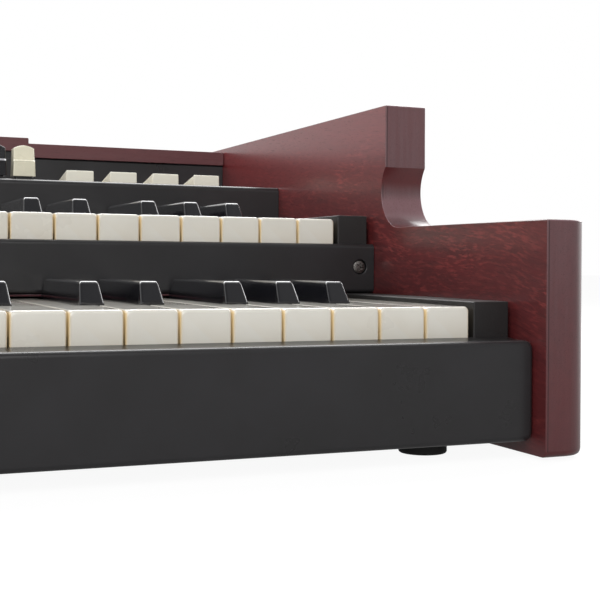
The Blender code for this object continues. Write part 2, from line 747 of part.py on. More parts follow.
# Drawbars, tabs and knobs
def knob_mesh():
    """Drawbar knob: upright lower front, leaning upper front, tapering sides and domed top."""
    low = KNOB_LIFT
    crease = low + KNOB_CREASE
    shoulder = low + KNOB_HEIGHT - KNOB_DOME
    half = KNOB_WIDTH / 2
    top_half = KNOB_TOP_WIDTH / 2
    crease_half = half + (top_half - half) * KNOB_CREASE / (KNOB_HEIGHT - KNOB_DOME)
    dome_radius = (top_half**2 + KNOB_DOME**2) / (2 * KNOB_DOME)
    spread = math.asin(top_half / dome_radius)
    centre = (0, low + KNOB_HEIGHT - dome_radius)
    up = math.pi / 2
    dome = arc(centre, dome_radius, up - spread, up + spread, KNOB_DOME_STEPS)
    dome[0] = (top_half, shoulder)
    dome[-1] = (-top_half, shoulder)
    outline = [(-half, low), (half, low), (crease_half, crease), *dome, (-crease_half, crease)]
    front = [(x, KNOB_LEAN * max(0.0, z - crease), z) for x, z in outline]
    back = [(x, KNOB_DEPTH, z) for x, z in outline]
    last = len(outline) - 1
    return loft(front, back, panels=[(0, 1, 2, last), tuple(range(2, last + 1))])


def stem_mesh():
    """Collar over the shelf and the blade that runs in the slot down to the channel floor."""
    collar = COLLAR_WIDTH / 2
    blade = BLADE_WIDTH / 2
    top = KNOB_LIFT + KNOB_CREASE / 2
    blade_end = CHANNEL_FLOOR + SEAT - SHELF_TOP
    outline = [
        (-collar, top),
        (-collar, SEAT),
        (-blade, SEAT),
        (-blade, blade_end),
        (blade, blade_end),
        (blade, SEAT),
        (collar, SEAT),
        (collar, top),
    ]
    start = BLADE_FRONT - KNOB_FRONT
    return prism_y(outline, start, start + COLLAR_DEPTH)


def drawbar_group_mesh(drawbar, xs, centre):
    """Drawbars joined by a link bar at the lower ends of their blades."""
    bars = merged([(drawbar, (x - centre, 0, 0)) for x in xs])
    blade_end = CHANNEL_FLOOR + SEAT - SHELF_TOP
    middle = BLADE_FRONT - KNOB_FRONT + COLLAR_DEPTH / 2
    link = box(
        (xs[0] - centre, xs[-1] - centre),
        (middle - LINK_DEPTH / 2, middle + LINK_DEPTH / 2),
        (blade_end + SEAT, blade_end + LINK_HEIGHT),
    )
    return combined("UNION", link, bars)


def tab_mesh():
    """Rocker tab about its axis: a wedge, high in front, on a half-round hub."""
    front = -TAB_LENGTH / 2
    back = TAB_LENGTH / 2
    under = TAB_PIVOT_DROP - TAB_UNDERSIDE_DROP
    front_top = TAB_PIVOT_DROP + TAB_RISE
    back_top = front_top - TAB_LENGTH * TAB_SLOPE
    hub = arc((0, 0), TAB_HUB_RADIUS, 0, -math.pi, TAB_HUB_STEPS)
    outline = [
        (front, front_top),
        (front, under),
        (-TAB_HUB_RADIUS, under),
        *hub[::-1],
        (TAB_HUB_RADIUS, under),
        (back, under),
        (back, back_top),
    ]
    return prism_x(outline, -TAB_WIDTH / 2, TAB_WIDTH / 2)


def rotary_mesh():
    """Round knob with its shaft through the shelf, about the shaft's axis at the shelf's top."""
    profile = [
        (ROTARY_SHAFT_RADIUS, -SHEET - ROTARY_SHAFT_REACH),
        (ROTARY_SHAFT_RADIUS, SEAT),
        (ROTARY_RADIUS, SEAT),
        (ROTARY_TOP_RADIUS, ROTARY_HEIGHT),
    ]
    return round_bar(profile, "Z", (0, 0, 0), ROTARY_SIDES)


# Fittings on the back
def power_inlet_mesh():
    """Inlet module: rim outside the panel, body through it, a socket and the switch's pocket."""
    body_half = INLET_WIDTH / 2
    rim_half = body_half + INLET_RIM
    body = box(
        (INLET_X - body_half, INLET_X + body_half),
        (RIM_BACK - INLET_DEPTH, RIM_BACK - RIM_WALL / 2),
        (INLET_Z - INLET_HEIGHT / 2, INLET_Z + INLET_HEIGHT / 2),
    )
    rim = box(
        (INLET_X - rim_half, INLET_X + rim_half),
        (RIM_BACK - RIM_WALL, RIM_BACK),
        (INLET_Z - INLET_HEIGHT / 2 - INLET_RIM, INLET_Z + INLET_HEIGHT / 2 + INLET_RIM),
    )
    socket_z = INLET_Z - SOCKET_DROP
    socket = box(
        (INLET_X - SOCKET_WIDTH / 2, INLET_X + SOCKET_WIDTH / 2),
        (RIM_BACK - SOCKET_DEPTH, RIM_BACK + OVERCUT),
        (socket_z - SOCKET_HEIGHT / 2, socket_z + SOCKET_HEIGHT / 2),
    )
    pocket_half = SWITCH_WIDTH / 2 + SWITCH_SIDE_GAP
    pocket_reach = SWITCH_RADIUS + SWITCH_END_GAP
    pocket = box(
        (INLET_X - pocket_half, INLET_X + pocket_half),
        (SWITCH_Y - SWITCH_RADIUS - SEAT, RIM_BACK + OVERCUT),
        (SWITCH_Z - pocket_reach, SWITCH_Z + pocket_reach),
    )
    housing = combined("UNION", rim, body)
    return combined("DIFFERENCE", housing, merged([(socket, (0, 0, 0)), (pocket, (0, 0, 0))]))


def power_switch_mesh():
    """Rocker about its axis: round back in the pocket and two flats outside, tilted to off."""
    quarter = math.pi / 2
    hub = arc((0, 0), SWITCH_RADIUS, quarter, 3 * quarter, SWITCH_STEPS)
    edge = SWITCH_PROUD + SWITCH_CROWN
    outline = [*hub, (edge, -SWITCH_RADIUS), (SWITCH_PROUD, 0), (edge, SWITCH_RADIUS)]
    tilt = Matrix.Rotation(-SWITCH_TILT, 2)
    tilted = [tuple(tilt @ Vector(point)) for point in outline]
    return prism_x(tilted, -SWITCH_WIDTH / 2, SWITCH_WIDTH / 2)


def jack_panel_mesh():
    """Strip of jack sockets: rim outside the back panel, body through it and blind bores."""
    rim_half = JACK_BODY_HALF + JACK_RIM
    half_height = JACK_BODY_HEIGHT / 2
    body = box(
        (JACK_X - JACK_BODY_HALF, JACK_X + JACK_BODY_HALF),
        (RIM_BACK - JACK_BODY_DEPTH, RIM_BACK - RIM_WALL / 2),
        (JACK_Z - half_height, JACK_Z + half_height),
    )
    rim = box(
        (JACK_X - rim_half, JACK_X + rim_half),
        (RIM_BACK - RIM_WALL, RIM_BACK),
        (JACK_Z - half_height - JACK_RIM, JACK_Z + half_height + JACK_RIM),
    )
    profile = [(JACK_BORE_RADIUS, -JACK_BORE_DEPTH), (JACK_BORE_RADIUS, OVERCUT)]
    first = JACK_X - (JACKS - 1) * JACK_PITCH / 2
    bores = [
        (round_bar(profile, "Y", (first + JACK_PITCH * step, RIM_BACK, JACK_Z), JACK_SIDES), (0, 0, 0))
        for step in range(JACKS)
    ]
    return combined("DIFFERENCE", combined("UNION", rim, body), merged(bores))


def main_board_mesh():
    """Circuit board on four posts over the bottom pan."""
    floor = PANEL_BOTTOM + SHEET + SEAT
    half = BOARD_WIDTH / 2
    y_low = FRONT + BOARD_SETBACK
    y_high = y_low + BOARD_DEPTH
    board_bottom = floor + BOARD_POST
    board = box((-half, half), (y_low, y_high), (board_bottom, board_bottom + BOARD_WALL))
    post = box((0, BOARD_POST), (0, BOARD_POST), (floor, board_bottom + BOARD_WALL / 2))
    xs = (-half + BOARD_POST_INSET, half - BOARD_POST_INSET - BOARD_POST)
    ys = (y_low + BOARD_POST_INSET, y_high - BOARD_POST_INSET - BOARD_POST)
    return combined("UNION", board, merged([(post, (x, y, 0)) for x in xs for y in ys]))


def power_supply_mesh():
    """Closed power supply unit on the bottom pan."""
    x_high = INNER_HALF - SUPPLY_SIDE_INSET
    y_low = FRONT + SUPPLY_SETBACK
    floor = PANEL_BOTTOM + SHEET + SEAT
    return box((x_high - SUPPLY_WIDTH, x_high), (y_low, y_low + SUPPLY_DEPTH), (floor, floor + SUPPLY_HEIGHT))


# Whole instrument
def build_case(wood, powder, rubber, felt, block, steel):
    """Cheeks, lid, panels, feet, key end blocks, felts and screws."""
    for side, sign in SIDES.items():
        add_part(f"cheek_{side}", cheek_mesh(sign), wood)
    add_part("top_lid", lid_mesh(), wood)
    add_part("front_rail", front_rail_mesh(), powder)
    add_part("upper_front_panel", upper_front_panel_mesh(), powder)
    add_part("control_panel", control_panel_mesh(), powder)
    add_part("back_panel", back_panel_mesh(), powder)
    add_part("bottom_pan", bottom_pan_mesh(), powder)
    foot_top = PANEL_BOTTOM - SEAT
    foot = round_bar(
        [(FOOT_RADIUS - FOOT_TAPER, 0), (FOOT_RADIUS, FOOT_TAPER), (FOOT_RADIUS, foot_top)],
        "Z",
        (0, 0, 0),
        FOOT_SIDES,
    )
    for side, sign in SIDES.items():
        for end, y in {"front": FRONT + FOOT_FRONT_INSET, "rear": BACK - FOOT_FRONT_INSET}.items():
            place = (sign * (INNER_HALF - FOOT_SIDE_INSET), y, 0)
            add_part(f"foot_{end}_{side}", foot, rubber, place)
    manuals = {
        "lower": (LOWER_FRONT, FASCIA_FACE, LOWER_TOP, LOWER_BED_BOTTOM),
        "upper": (UPPER_FRONT, CONTROL_FACE, UPPER_TOP, UPPER_BED_BOTTOM),
    }
    for manual, (front, rear, top, bed) in manuals.items():
        for side, sign in SIDES.items():
            x_near = sign * (KEYBOARD_HALF + BLOCK_GAP)
            x_far = x_near + sign * BLOCK_WIDTH
            z_span = (bed + BED_WALL + SEAT, top + BLOCK_RISE)
            add_part(f"{manual}_end_block_{side}", box((x_near, x_far), (front, rear - SEAT), z_span), block)
        y_span = (rear + SEAT, rear + FELT_DEPTH)
        strip = box((-KEYBOARD_HALF, KEYBOARD_HALF), y_span, (top + SEAT, top + KEY_HEADROOM - SEAT))
        add_part(f"{manual}_key_felt", strip, felt)
    head_back = SHEET
    head_front = head_back - SCREW_HEAD_HEIGHT
    profile = [
        (SCREW_HEAD_RADIUS, head_front),
        (SCREW_HEAD_RADIUS, head_back),
        (SCREW_SHANK_RADIUS, head_back),
        (SCREW_SHANK_RADIUS, head_back + SCREW_SHANK_LENGTH),
    ]
    screw = round_bar(profile, "Y", (0, 0, 0), SCREW_SIDES)
    for side, place in screw_places().items():
        add_part(f"panel_screw_{side}", screw, steel, place)


def build_manuals(steel, ivory, ebony):
    """Keybeds and keys: the last five keys of each manual are single, the others joined."""
    lower_bed = keybed_mesh(RAIL_FACE + SHEET + SEAT, LOWER_FRONT, LOWER_TOP, LOWER_BED_BOTTOM, False)
    add_part("lower_keybed", lower_bed, steel)
    upper_bed = keybed_mesh(UPPER_BED_FRONT, UPPER_FRONT, UPPER_TOP, UPPER_BED_BOTTOM, True)
    add_part("upper_keybed", upper_bed, steel)
    naturals = [natural_mesh(index) for index in range(NATURALS)]
    sharp = sharp_mesh()
    natural_bank = natural_bank_mesh(naturals)
    sharp_bank = sharp_bank_mesh(sharp)
    for manual, front, top in (("lower", LOWER_FRONT, LOWER_TOP), ("upper", UPPER_FRONT, UPPER_TOP)):
        axis_y = front + KEY_LENGTH
        axis_z = top - KEY_BODY
        add_part(f"{manual}_naturals", natural_bank, ivory, (0, axis_y, axis_z))
        add_part(f"{manual}_sharps", sharp_bank, ebony, (0, axis_y, axis_z))
        for offset, note in enumerate(("a", "b", "c")):
            index = SINGLE_FROM + offset
            add_part(f"{manual}_key_{note}", naturals[index], ivory, (natural_x(index), axis_y, axis_z))
        for offset, note in enumerate(("g_sharp", "a_sharp")):
            x = sharp_x(SINGLE_FROM - 1 + offset)
            add_part(f"{manual}_key_{note}", sharp, ebony, (x, axis_y, axis_z))


def build_controls(steel, ivory, ebony, brown, block):
    """Drawbars with their channel, rocker tabs with theirs, and rotary knobs."""
    y_span = (BLADE_FRONT - CHANNEL_MARGIN, BLADE_FRONT + COLLAR_DEPTH + DRAWBAR_TRAVEL + CHANNEL_MARGIN)
    half = RIGHT_SET[-1] + CHANNEL_SIDE_MARGIN
    add_part("drawbar_channel", channel_mesh((-half, half), y_span, CHANNEL_FLOOR), steel)
    drawbar = combined("UNION", knob_mesh(), stem_mesh())
    colours = (brown, brown, ivory, ivory, ebony, ivory, ebony, ebony, ivory)
    for number, (x, colour) in enumerate(zip(RIGHT_SET, colours), start=1):
        add_part(f"drawbar_{number}", drawbar, colour, (x, KNOB_FRONT, SHELF_TOP))
    left_centre = sum(LEFT_SET) / len(LEFT_SET)
    left = drawbar_group_mesh(drawbar, LEFT_SET, left_centre)
    add_part("drawbars_left", left, ivory, (left_centre, KNOB_FRONT, SHELF_TOP))
    pedal = drawbar_group_mesh(drawbar, PEDAL_SET, 0)
    add_part("drawbars_pedal", pedal, brown, (0, KNOB_FRONT, SHELF_TOP))
    tab = tab_mesh()
    for number, x in enumerate(TAB_XS, start=1):
        add_part(f"rocker_tab_{number}", tab, ivory, (x, TAB_AXIS_Y, TAB_AXIS_Z))
    tab_reach = TAB_LENGTH / 2 + CHANNEL_MARGIN
    tab_x_span = (TAB_XS[0] - TAB_WIDTH / 2 - CHANNEL_MARGIN, TAB_XS[-1] + TAB_WIDTH / 2 + CHANNEL_MARGIN)
    tab_floor = TAB_AXIS_Z - TAB_HUB_RADIUS - SEAT
    channel = channel_mesh(tab_x_span, (TAB_AXIS_Y - tab_reach, TAB_AXIS_Y + tab_reach), tab_floor)
    add_part("tab_channel", channel, steel)
    rotary = rotary_mesh()
    for name, x in zip(("volume_knob", "vibrato_knob"), ROTARY_XS):
        add_part(name, rotary, block, (x, ROTARY_Y, SHELF_TOP))


def build_electrics(board, block, steel):
    """Boards inside and the fittings of the back panel."""
    add_part("main_board", main_board_mesh(), board)
    add_part("power_supply", power_supply_mesh(), steel)
    add_part("power_inlet", power_inlet_mesh(), block)
    add_part("power_switch", power_switch_mesh(), block, (INLET_X, SWITCH_Y, SWITCH_Z))
    add_part("jack_panel", jack_panel_mesh(), block)


def main():
    """Builds every part of the organ in an empty scene."""
    for old in list(bpy.data.objects):
        bpy.data.objects.remove(old)
    wood = make_finish("mahogany", (0.13, 0.032, 0.03), 0.45)
    powder = make_finish("black_powder_coat", (0.028, 0.028, 0.03), 0.5)
    rubber = make_finish("foot_rubber", (0.02, 0.02, 0.02), 0.8)
    felt = make_finish("red_felt", (0.3, 0.02, 0.02), 0.95)
    block = make_finish("black_plastic", (0.025, 0.024, 0.024), 0.4)
    steel = make_finish("plated_steel", (0.45, 0.45, 0.46), 0.35, 1.0)
    ivory = make_finish("ivory_plastic", (0.6, 0.57, 0.5), 0.3)
    ebony = make_finish("black_gloss_plastic", (0.012, 0.012, 0.015), 0.15)
    brown = make_finish("brown_plastic", (0.08, 0.03, 0.015), 0.3)
    board = make_finish("circuit_board", (0.02, 0.15, 0.06), 0.5)
    build_case(wood, powder, rubber, felt, block, steel)
    build_manuals(steel, ivory, ebony)
    build_controls(steel, ivory, ebony, brown, block)
    build_electrics(board, block, steel)


main()
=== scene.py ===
"""Dressed model of a two-manual drawbar organ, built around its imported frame.

Lengths are in metres in the frame's axes: X along the keyboards, Y to the back, Z up.
"""

from __future__ import annotations

import json
import logging
import math
from dataclasses import dataclass, field
from enum import Enum
from typing import Sequence

import bpy
import numpy as np
from mathutils import Matrix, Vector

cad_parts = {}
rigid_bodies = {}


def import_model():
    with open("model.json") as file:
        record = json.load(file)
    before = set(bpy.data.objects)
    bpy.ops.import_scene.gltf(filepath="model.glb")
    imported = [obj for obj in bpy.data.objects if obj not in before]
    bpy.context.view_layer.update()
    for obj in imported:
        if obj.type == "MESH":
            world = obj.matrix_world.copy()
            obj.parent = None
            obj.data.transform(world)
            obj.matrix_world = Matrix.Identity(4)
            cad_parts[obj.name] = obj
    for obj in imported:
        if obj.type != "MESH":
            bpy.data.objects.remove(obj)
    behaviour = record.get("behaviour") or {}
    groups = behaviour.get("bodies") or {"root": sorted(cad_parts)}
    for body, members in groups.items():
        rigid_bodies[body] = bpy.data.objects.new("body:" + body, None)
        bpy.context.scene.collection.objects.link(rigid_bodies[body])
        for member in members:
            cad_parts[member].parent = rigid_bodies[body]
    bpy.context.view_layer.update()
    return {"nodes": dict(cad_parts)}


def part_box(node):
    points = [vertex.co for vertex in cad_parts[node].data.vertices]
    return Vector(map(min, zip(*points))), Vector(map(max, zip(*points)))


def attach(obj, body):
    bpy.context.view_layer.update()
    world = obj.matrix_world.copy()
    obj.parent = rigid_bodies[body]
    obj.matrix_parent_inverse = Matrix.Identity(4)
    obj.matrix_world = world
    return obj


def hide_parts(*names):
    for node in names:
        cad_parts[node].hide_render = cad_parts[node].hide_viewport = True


LOG = logging.getLogger("drawbar_organ")
CASE = "case"
SIDES = {"left": -1, "right": 1}
MANUALS = ("lower", "upper")
SMOOTH_ANGLE = math.radians(36)
QUARTER_TURN = math.pi / 2
FULL_TURN = 2 * math.pi

# Gap between two pieces that touch
SEAT_GAP = 0.0003

# Limits of the shape functions
SAME_RING = 1e-7
SAME_PLACE = 1e-6
PLACE_DIGITS = 7
CORNER_MOST = 0.49
CORNER_LEAST = 0.125
MITRE_LEAST = 0.2

# Keyboard layout shared by both manuals
OCTAVE_WIDTH = 0.165
OCTAVE_NATURALS = 7
LOW_GROUP = 3
NATURALS = 36
SINGLE_NATURALS = 3
KEY_PITCH = OCTAVE_WIDTH / OCTAVE_NATURALS
KEYBOARD_HALF = NATURALS * KEY_PITCH / 2

# Nodes of the shelf's controls
SINGLE_DRAWBARS = tuple(f"drawbar_{number}" for number in range(1, 10))
ROCKER_TABS = tuple(f"rocker_tab_{number}" for number in range(1, 5))
ROTARY_KNOBS = ("volume_knob", "vibrato_knob")

Colour = tuple[float, float, float]
Limits = tuple[float, float]
Triple = tuple[float, float, float]
Socket = bpy.types.NodeSocket


class Axis(Enum):
    """Order in which (across, along, up) becomes (x, y, z) for each direction of travel."""

    X = (1, 0, 2)
    Y = (0, 1, 2)
    Z = (0, 2, 1)


def tint(red: float, green: float, blue: float) -> tuple[float, float, float, float]:
    """Linear colour of display values from 0 to 255.

    A share up to 0.04045 is divided by 12.92. Above it, 0.055 is added, the sum is divided by 1.055 and
    raised to the power of 2.4.

    Args:
        red: Red display value.
        green: Green display value.
        blue: Blue display value.

    Returns:
        Linear red, green and blue, and full opacity.
    """
    shares = np.array([red, green, blue]) / 255.0
    linear = np.where(shares <= 0.04045, shares / 12.92, ((shares + 0.055) / 1.055) ** 2.4)
    return (*map(float, linear), 1.0)


# Surfaces
@dataclass
class Surface:
    """Points and faces of a shape before it becomes a mesh.

    Args:
        points: Array (n, 3) of places.
        quads: Array (m, 4) of point numbers.
        caps: Flat faces with any number of corners.
        shade: One value per point that the finish reads: a painted shade, or on wood a seam line, up to 1,
            and a painted glow above 1.
    """

    points: np.ndarray
    quads: np.ndarray
    caps: list[np.ndarray] = field(default_factory=list)
    shade: np.ndarray | None = None

    def volume(self) -> float:
        """Signed volume: the triple product of each triangle's corners, summed, over six.

        Returns:
            The volume, below 0 where the faces point inwards.
        """
        corners = self.points[self.quads]
        triangles = [corners[:, [0, 1, 2]], corners[:, [0, 2, 3]]]
        for cap in self.caps:
            ring = self.points[cap]
            first = np.broadcast_to(ring[0], ring[1:-1].shape)
            triangles.append(np.stack([first, ring[1:-1], ring[2:]], axis=1))
        whole = np.concatenate(triangles)
        return float(np.einsum("ij,ij->i", whole[:, 0], np.cross(whole[:, 1], whole[:, 2])).sum() / 6)

    def outward(self) -> "Surface":
        """Turns every face round where the volume is below 0.

        Returns:
            The same surface, its faces pointing outwards.
        """
        if self.volume() < 0:
            self.quads = self.quads[:, ::-1]
            self.caps = [cap[::-1] for cap in self.caps]
        return self


def joined(surfaces: Sequence[Surface]) -> Surface:
    """One surface that holds several.

    Args:
        surfaces: Surfaces to bring together, each closed by itself.

    Returns:
        Their points and faces in one surface.
    """
    starts = np.cumsum([0] + [len(s.points) for s in surfaces[:-1]])
    shades = [s.shade if s.shade is not None else np.zeros(len(s.points)) for s in surfaces]
    return Surface(
        np.concatenate([s.points for s in surfaces]),
        np.concatenate([s.quads + start for s, start in zip(surfaces, starts)]),
        [cap + start for s, start in zip(surfaces, starts) for cap in s.caps],
        np.concatenate(shades),
    )


def ring_quads(index: np.ndarray) -> np.ndarray:
    """Quads of a stack of closed rings: points j and j + 1 of rings i and i + 1, the last point by the first.

    Args:
        index: Array (ring, point) of point numbers.

    Returns:
        Array (m, 4) of point numbers.
    """
    turned = np.roll(index, -1, axis=1)
    return np.stack([index[:-1], turned[:-1], turned[1:], index[1:]], axis=-1).reshape(-1, 4)


def tube(rings: np.ndarray, shade: np.ndarray | None = None) -> Surface:
    """Closed skin over a stack of matching rings, with one flat face at each end.

    A ring in the same place as the one before it is left out.

    Args:
        rings: Array (ring, point, 3).
        shade: Array (ring, point) or None.

    Returns:
        The closed surface.
    """
    moved = np.abs(np.diff(rings, axis=0)).max(axis=(1, 2)) > SAME_RING
    kept = np.concatenate([[True], moved])
    rings = rings[kept]
    index = np.arange(rings.shape[0] * rings.shape[1]).reshape(rings.shape[:2])
    values = None if shade is None else shade[kept].ravel()
    return Surface(rings.reshape(-1, 3), ring_quads(index), [index[0][::-1], index[-1]], values).outward()


def rounding(distance: np.ndarray, radius: float) -> np.ndarray:
    """Drop of a rounded edge: the radius less the height of a quarter circle at a distance from its side.

    Args:
        distance: Distances from the face beside the edge.
        radius: Radius of the edge.

    Returns:
        How far the surface lies under the sharp corner.
    """
    inside = np.clip(radius - np.asarray(distance, float), 0, radius)
    return radius - np.sqrt(radius**2 - inside**2)


def edge_steps(radius: float, steps: int) -> np.ndarray:
    """Distances from 0 to a radius that lie at even angles on its quarter circle."""
    return radius * (1 - np.cos(np.linspace(0, QUARTER_TURN, steps + 1)))


def sections(
    along: np.ndarray,
    spans: Sequence[np.ndarray | float],
    radius: np.ndarray | float,
    axis: Axis = Axis.Y,
    steps: int = 3,
) -> np.ndarray:
    """Rounded rectangles, one ring for each place along a direction.

    A ring runs over four quarter circles whose centres lie a radius inside the corners.

    Args:
        along: Places of the rings.
        spans: Left, right, low and high limits, each one value or one per ring.
        radius: Radius of the corners, one value or one per ring.
        axis: Direction of travel.
        steps: Steps in each corner.

    Returns:
        Array (ring, point, 3).
    """
    left, right, low, high, size = (np.broadcast_to(v, along.shape)[:, None] for v in (*spans, radius))
    size = np.minimum(size, CORNER_MOST * np.minimum(right - left, high - low))
    corner = np.repeat(np.arange(4), steps + 1)
    turn = np.tile(np.linspace(0, QUARTER_TURN, steps + 1), 4) + corner * QUARTER_TURN
    at_right = np.isin(corner, (0, 3))
    at_top = corner < 2
    across = np.where(at_right, right - size, left + size) + size * np.cos(turn)
    up = np.where(at_top, high - size, low + size) + size * np.sin(turn)
    rings = np.stack([across, np.broadcast_to(along[:, None], across.shape), up], axis=-1)
    return rings[..., axis.value]


def rounded_box(low: Sequence[float], high: Sequence[float], radius: float, steps: int = 3) -> Surface:
    """Box with round edges: sections that shrink towards both ends as a quarter circle does.

    Args:
        low: Lowest corner.
        high: Highest corner.
        radius: Radius of every edge.
        steps: Steps in each edge.

    Returns:
        The closed surface.
    """
    distance = edge_steps(radius, steps)
    along = np.concatenate([low[1] + distance, high[1] - distance[::-1]])
    drop = rounding(np.concatenate([distance, distance[::-1]]), radius)
    spans = (low[0] + drop, high[0] - drop, low[2] + drop, high[2] - drop)
    return tube(sections(along, spans, np.maximum(radius - drop, radius * CORNER_LEAST), steps=steps))


def turned_rings(
    profile: np.ndarray,
    centre: Sequence[float],
    axis: Axis = Axis.Z,
    sides: int = 48,
    flutes: tuple[int, float] = (0, 0.0),
) -> np.ndarray:
    """Rings of a turned shape: each (radius, distance) pair of a profile is swept round an axis.

    Flutes multiply the radius by one plus their depth times the cosine of their number times the angle.

    Args:
        profile: Array (n, 2) of radius and distance along the axis.
        centre: Place of the axis where the distance is 0.
        axis: Direction of the axis.
        sides: Points in each ring.
        flutes: Number of flutes and their depth as a share of the radius.

    Returns:
        Array (ring, point, 3).
    """
    turn = np.linspace(0, FULL_TURN, sides, endpoint=False)
    radius = profile[:, :1] * (1 + flutes[1] * np.cos(flutes[0] * turn))
    distance = np.broadcast_to(profile[:, 1:], radius.shape)
    rings = np.stack([radius * np.cos(turn), distance, radius * np.sin(turn)], axis=-1)
    return rings[..., axis.value] + np.array(centre)


def filleted(corners: Sequence[Sequence[float]], closed: bool, steps: int = 5) -> np.ndarray:
    """Polyline whose corners are replaced by tangent arcs.

    Args:
        corners: (u, v, radius) triples; a corner with radius 0 stays sharp.
        closed: Whether the last corner joins the first.
        steps: Steps in each arc.

    Returns:
        Array (n, 2) of points.
    """
    places = np.array([corner[:2] for corner in corners], float)
    count = len(places)
    points: list[np.ndarray] = []
    for number, (u, v, radius) in enumerate(corners):
        here = np.array([u, v])
        if radius == 0 or (not closed and number in (0, count - 1)):
            points.append(here[None])
            continue
        before = places[number - 1] - here
        after = places[(number + 1) % count] - here
        before, after = before / np.linalg.norm(before), after / np.linalg.norm(after)
        half = math.acos(float(np.clip(before @ after, -1, 1))) / 2
        middle = (before + after) / np.linalg.norm(before + after)
        centre = here + middle * radius / math.sin(half)
        reach = radius / math.tan(half)
        start, end = here + before * reach - centre, here + after * reach - centre
        share = np.linspace(0, 1, steps + 1)[:, None]
        spread = math.pi - 2 * half
        arc = (np.sin((1 - share) * spread) * start + np.sin(share * spread) * end) / math.sin(spread)
        points.append(centre + arc)
    return np.concatenate(points)


def inward_normals(outline: np.ndarray) -> np.ndarray:
    """Mitred normals of a closed outline, so that an outline moved along them keeps its walls parallel.

    Args:
        outline: Array (n, 2) of points.

    Returns:
        Array (n, 2), pointing to the inside.
    """
    edges = np.roll(outline, -1, axis=0) - outline
    edges /= np.linalg.norm(edges, axis=1)[:, None]
    normal = np.stack([-edges[:, 1], edges[:, 0]], axis=1)
    both = normal + np.roll(normal, 1, axis=0)
    mitre = both / np.maximum((both**2).sum(axis=1) / 2, MITRE_LEAST)[:, None]
    turned = np.roll(outline, -1, axis=0)
    area = (outline[:, 0] * turned[:, 1] - turned[:, 0] * outline[:, 1]).sum()
    return mitre * math.copysign(1.0, area)


def stacked(outline: np.ndarray, along: np.ndarray, inset: np.ndarray, axis: Axis) -> np.ndarray:
    """Rings of one outline carried along a direction, each drawn in by its own inset.

    Args:
        outline: Array (n, 2) of (across, up) points.
        along: Places of the rings.
        inset: Inset of each ring.
        axis: Direction of travel.

    Returns:
        Array (ring, point, 3).
    """
    moved = outline + inset[:, None, None] * inward_normals(outline)
    depth = np.broadcast_to(along[:, None], moved.shape[:2])
    return np.stack([moved[..., 0], depth, moved[..., 1]], axis=-1)[..., axis.value]


@dataclass
class Window:
    """Opening in a folded sheet between two places along X and two along Y or Z."""

    x_span: Limits
    depth_span: Limits


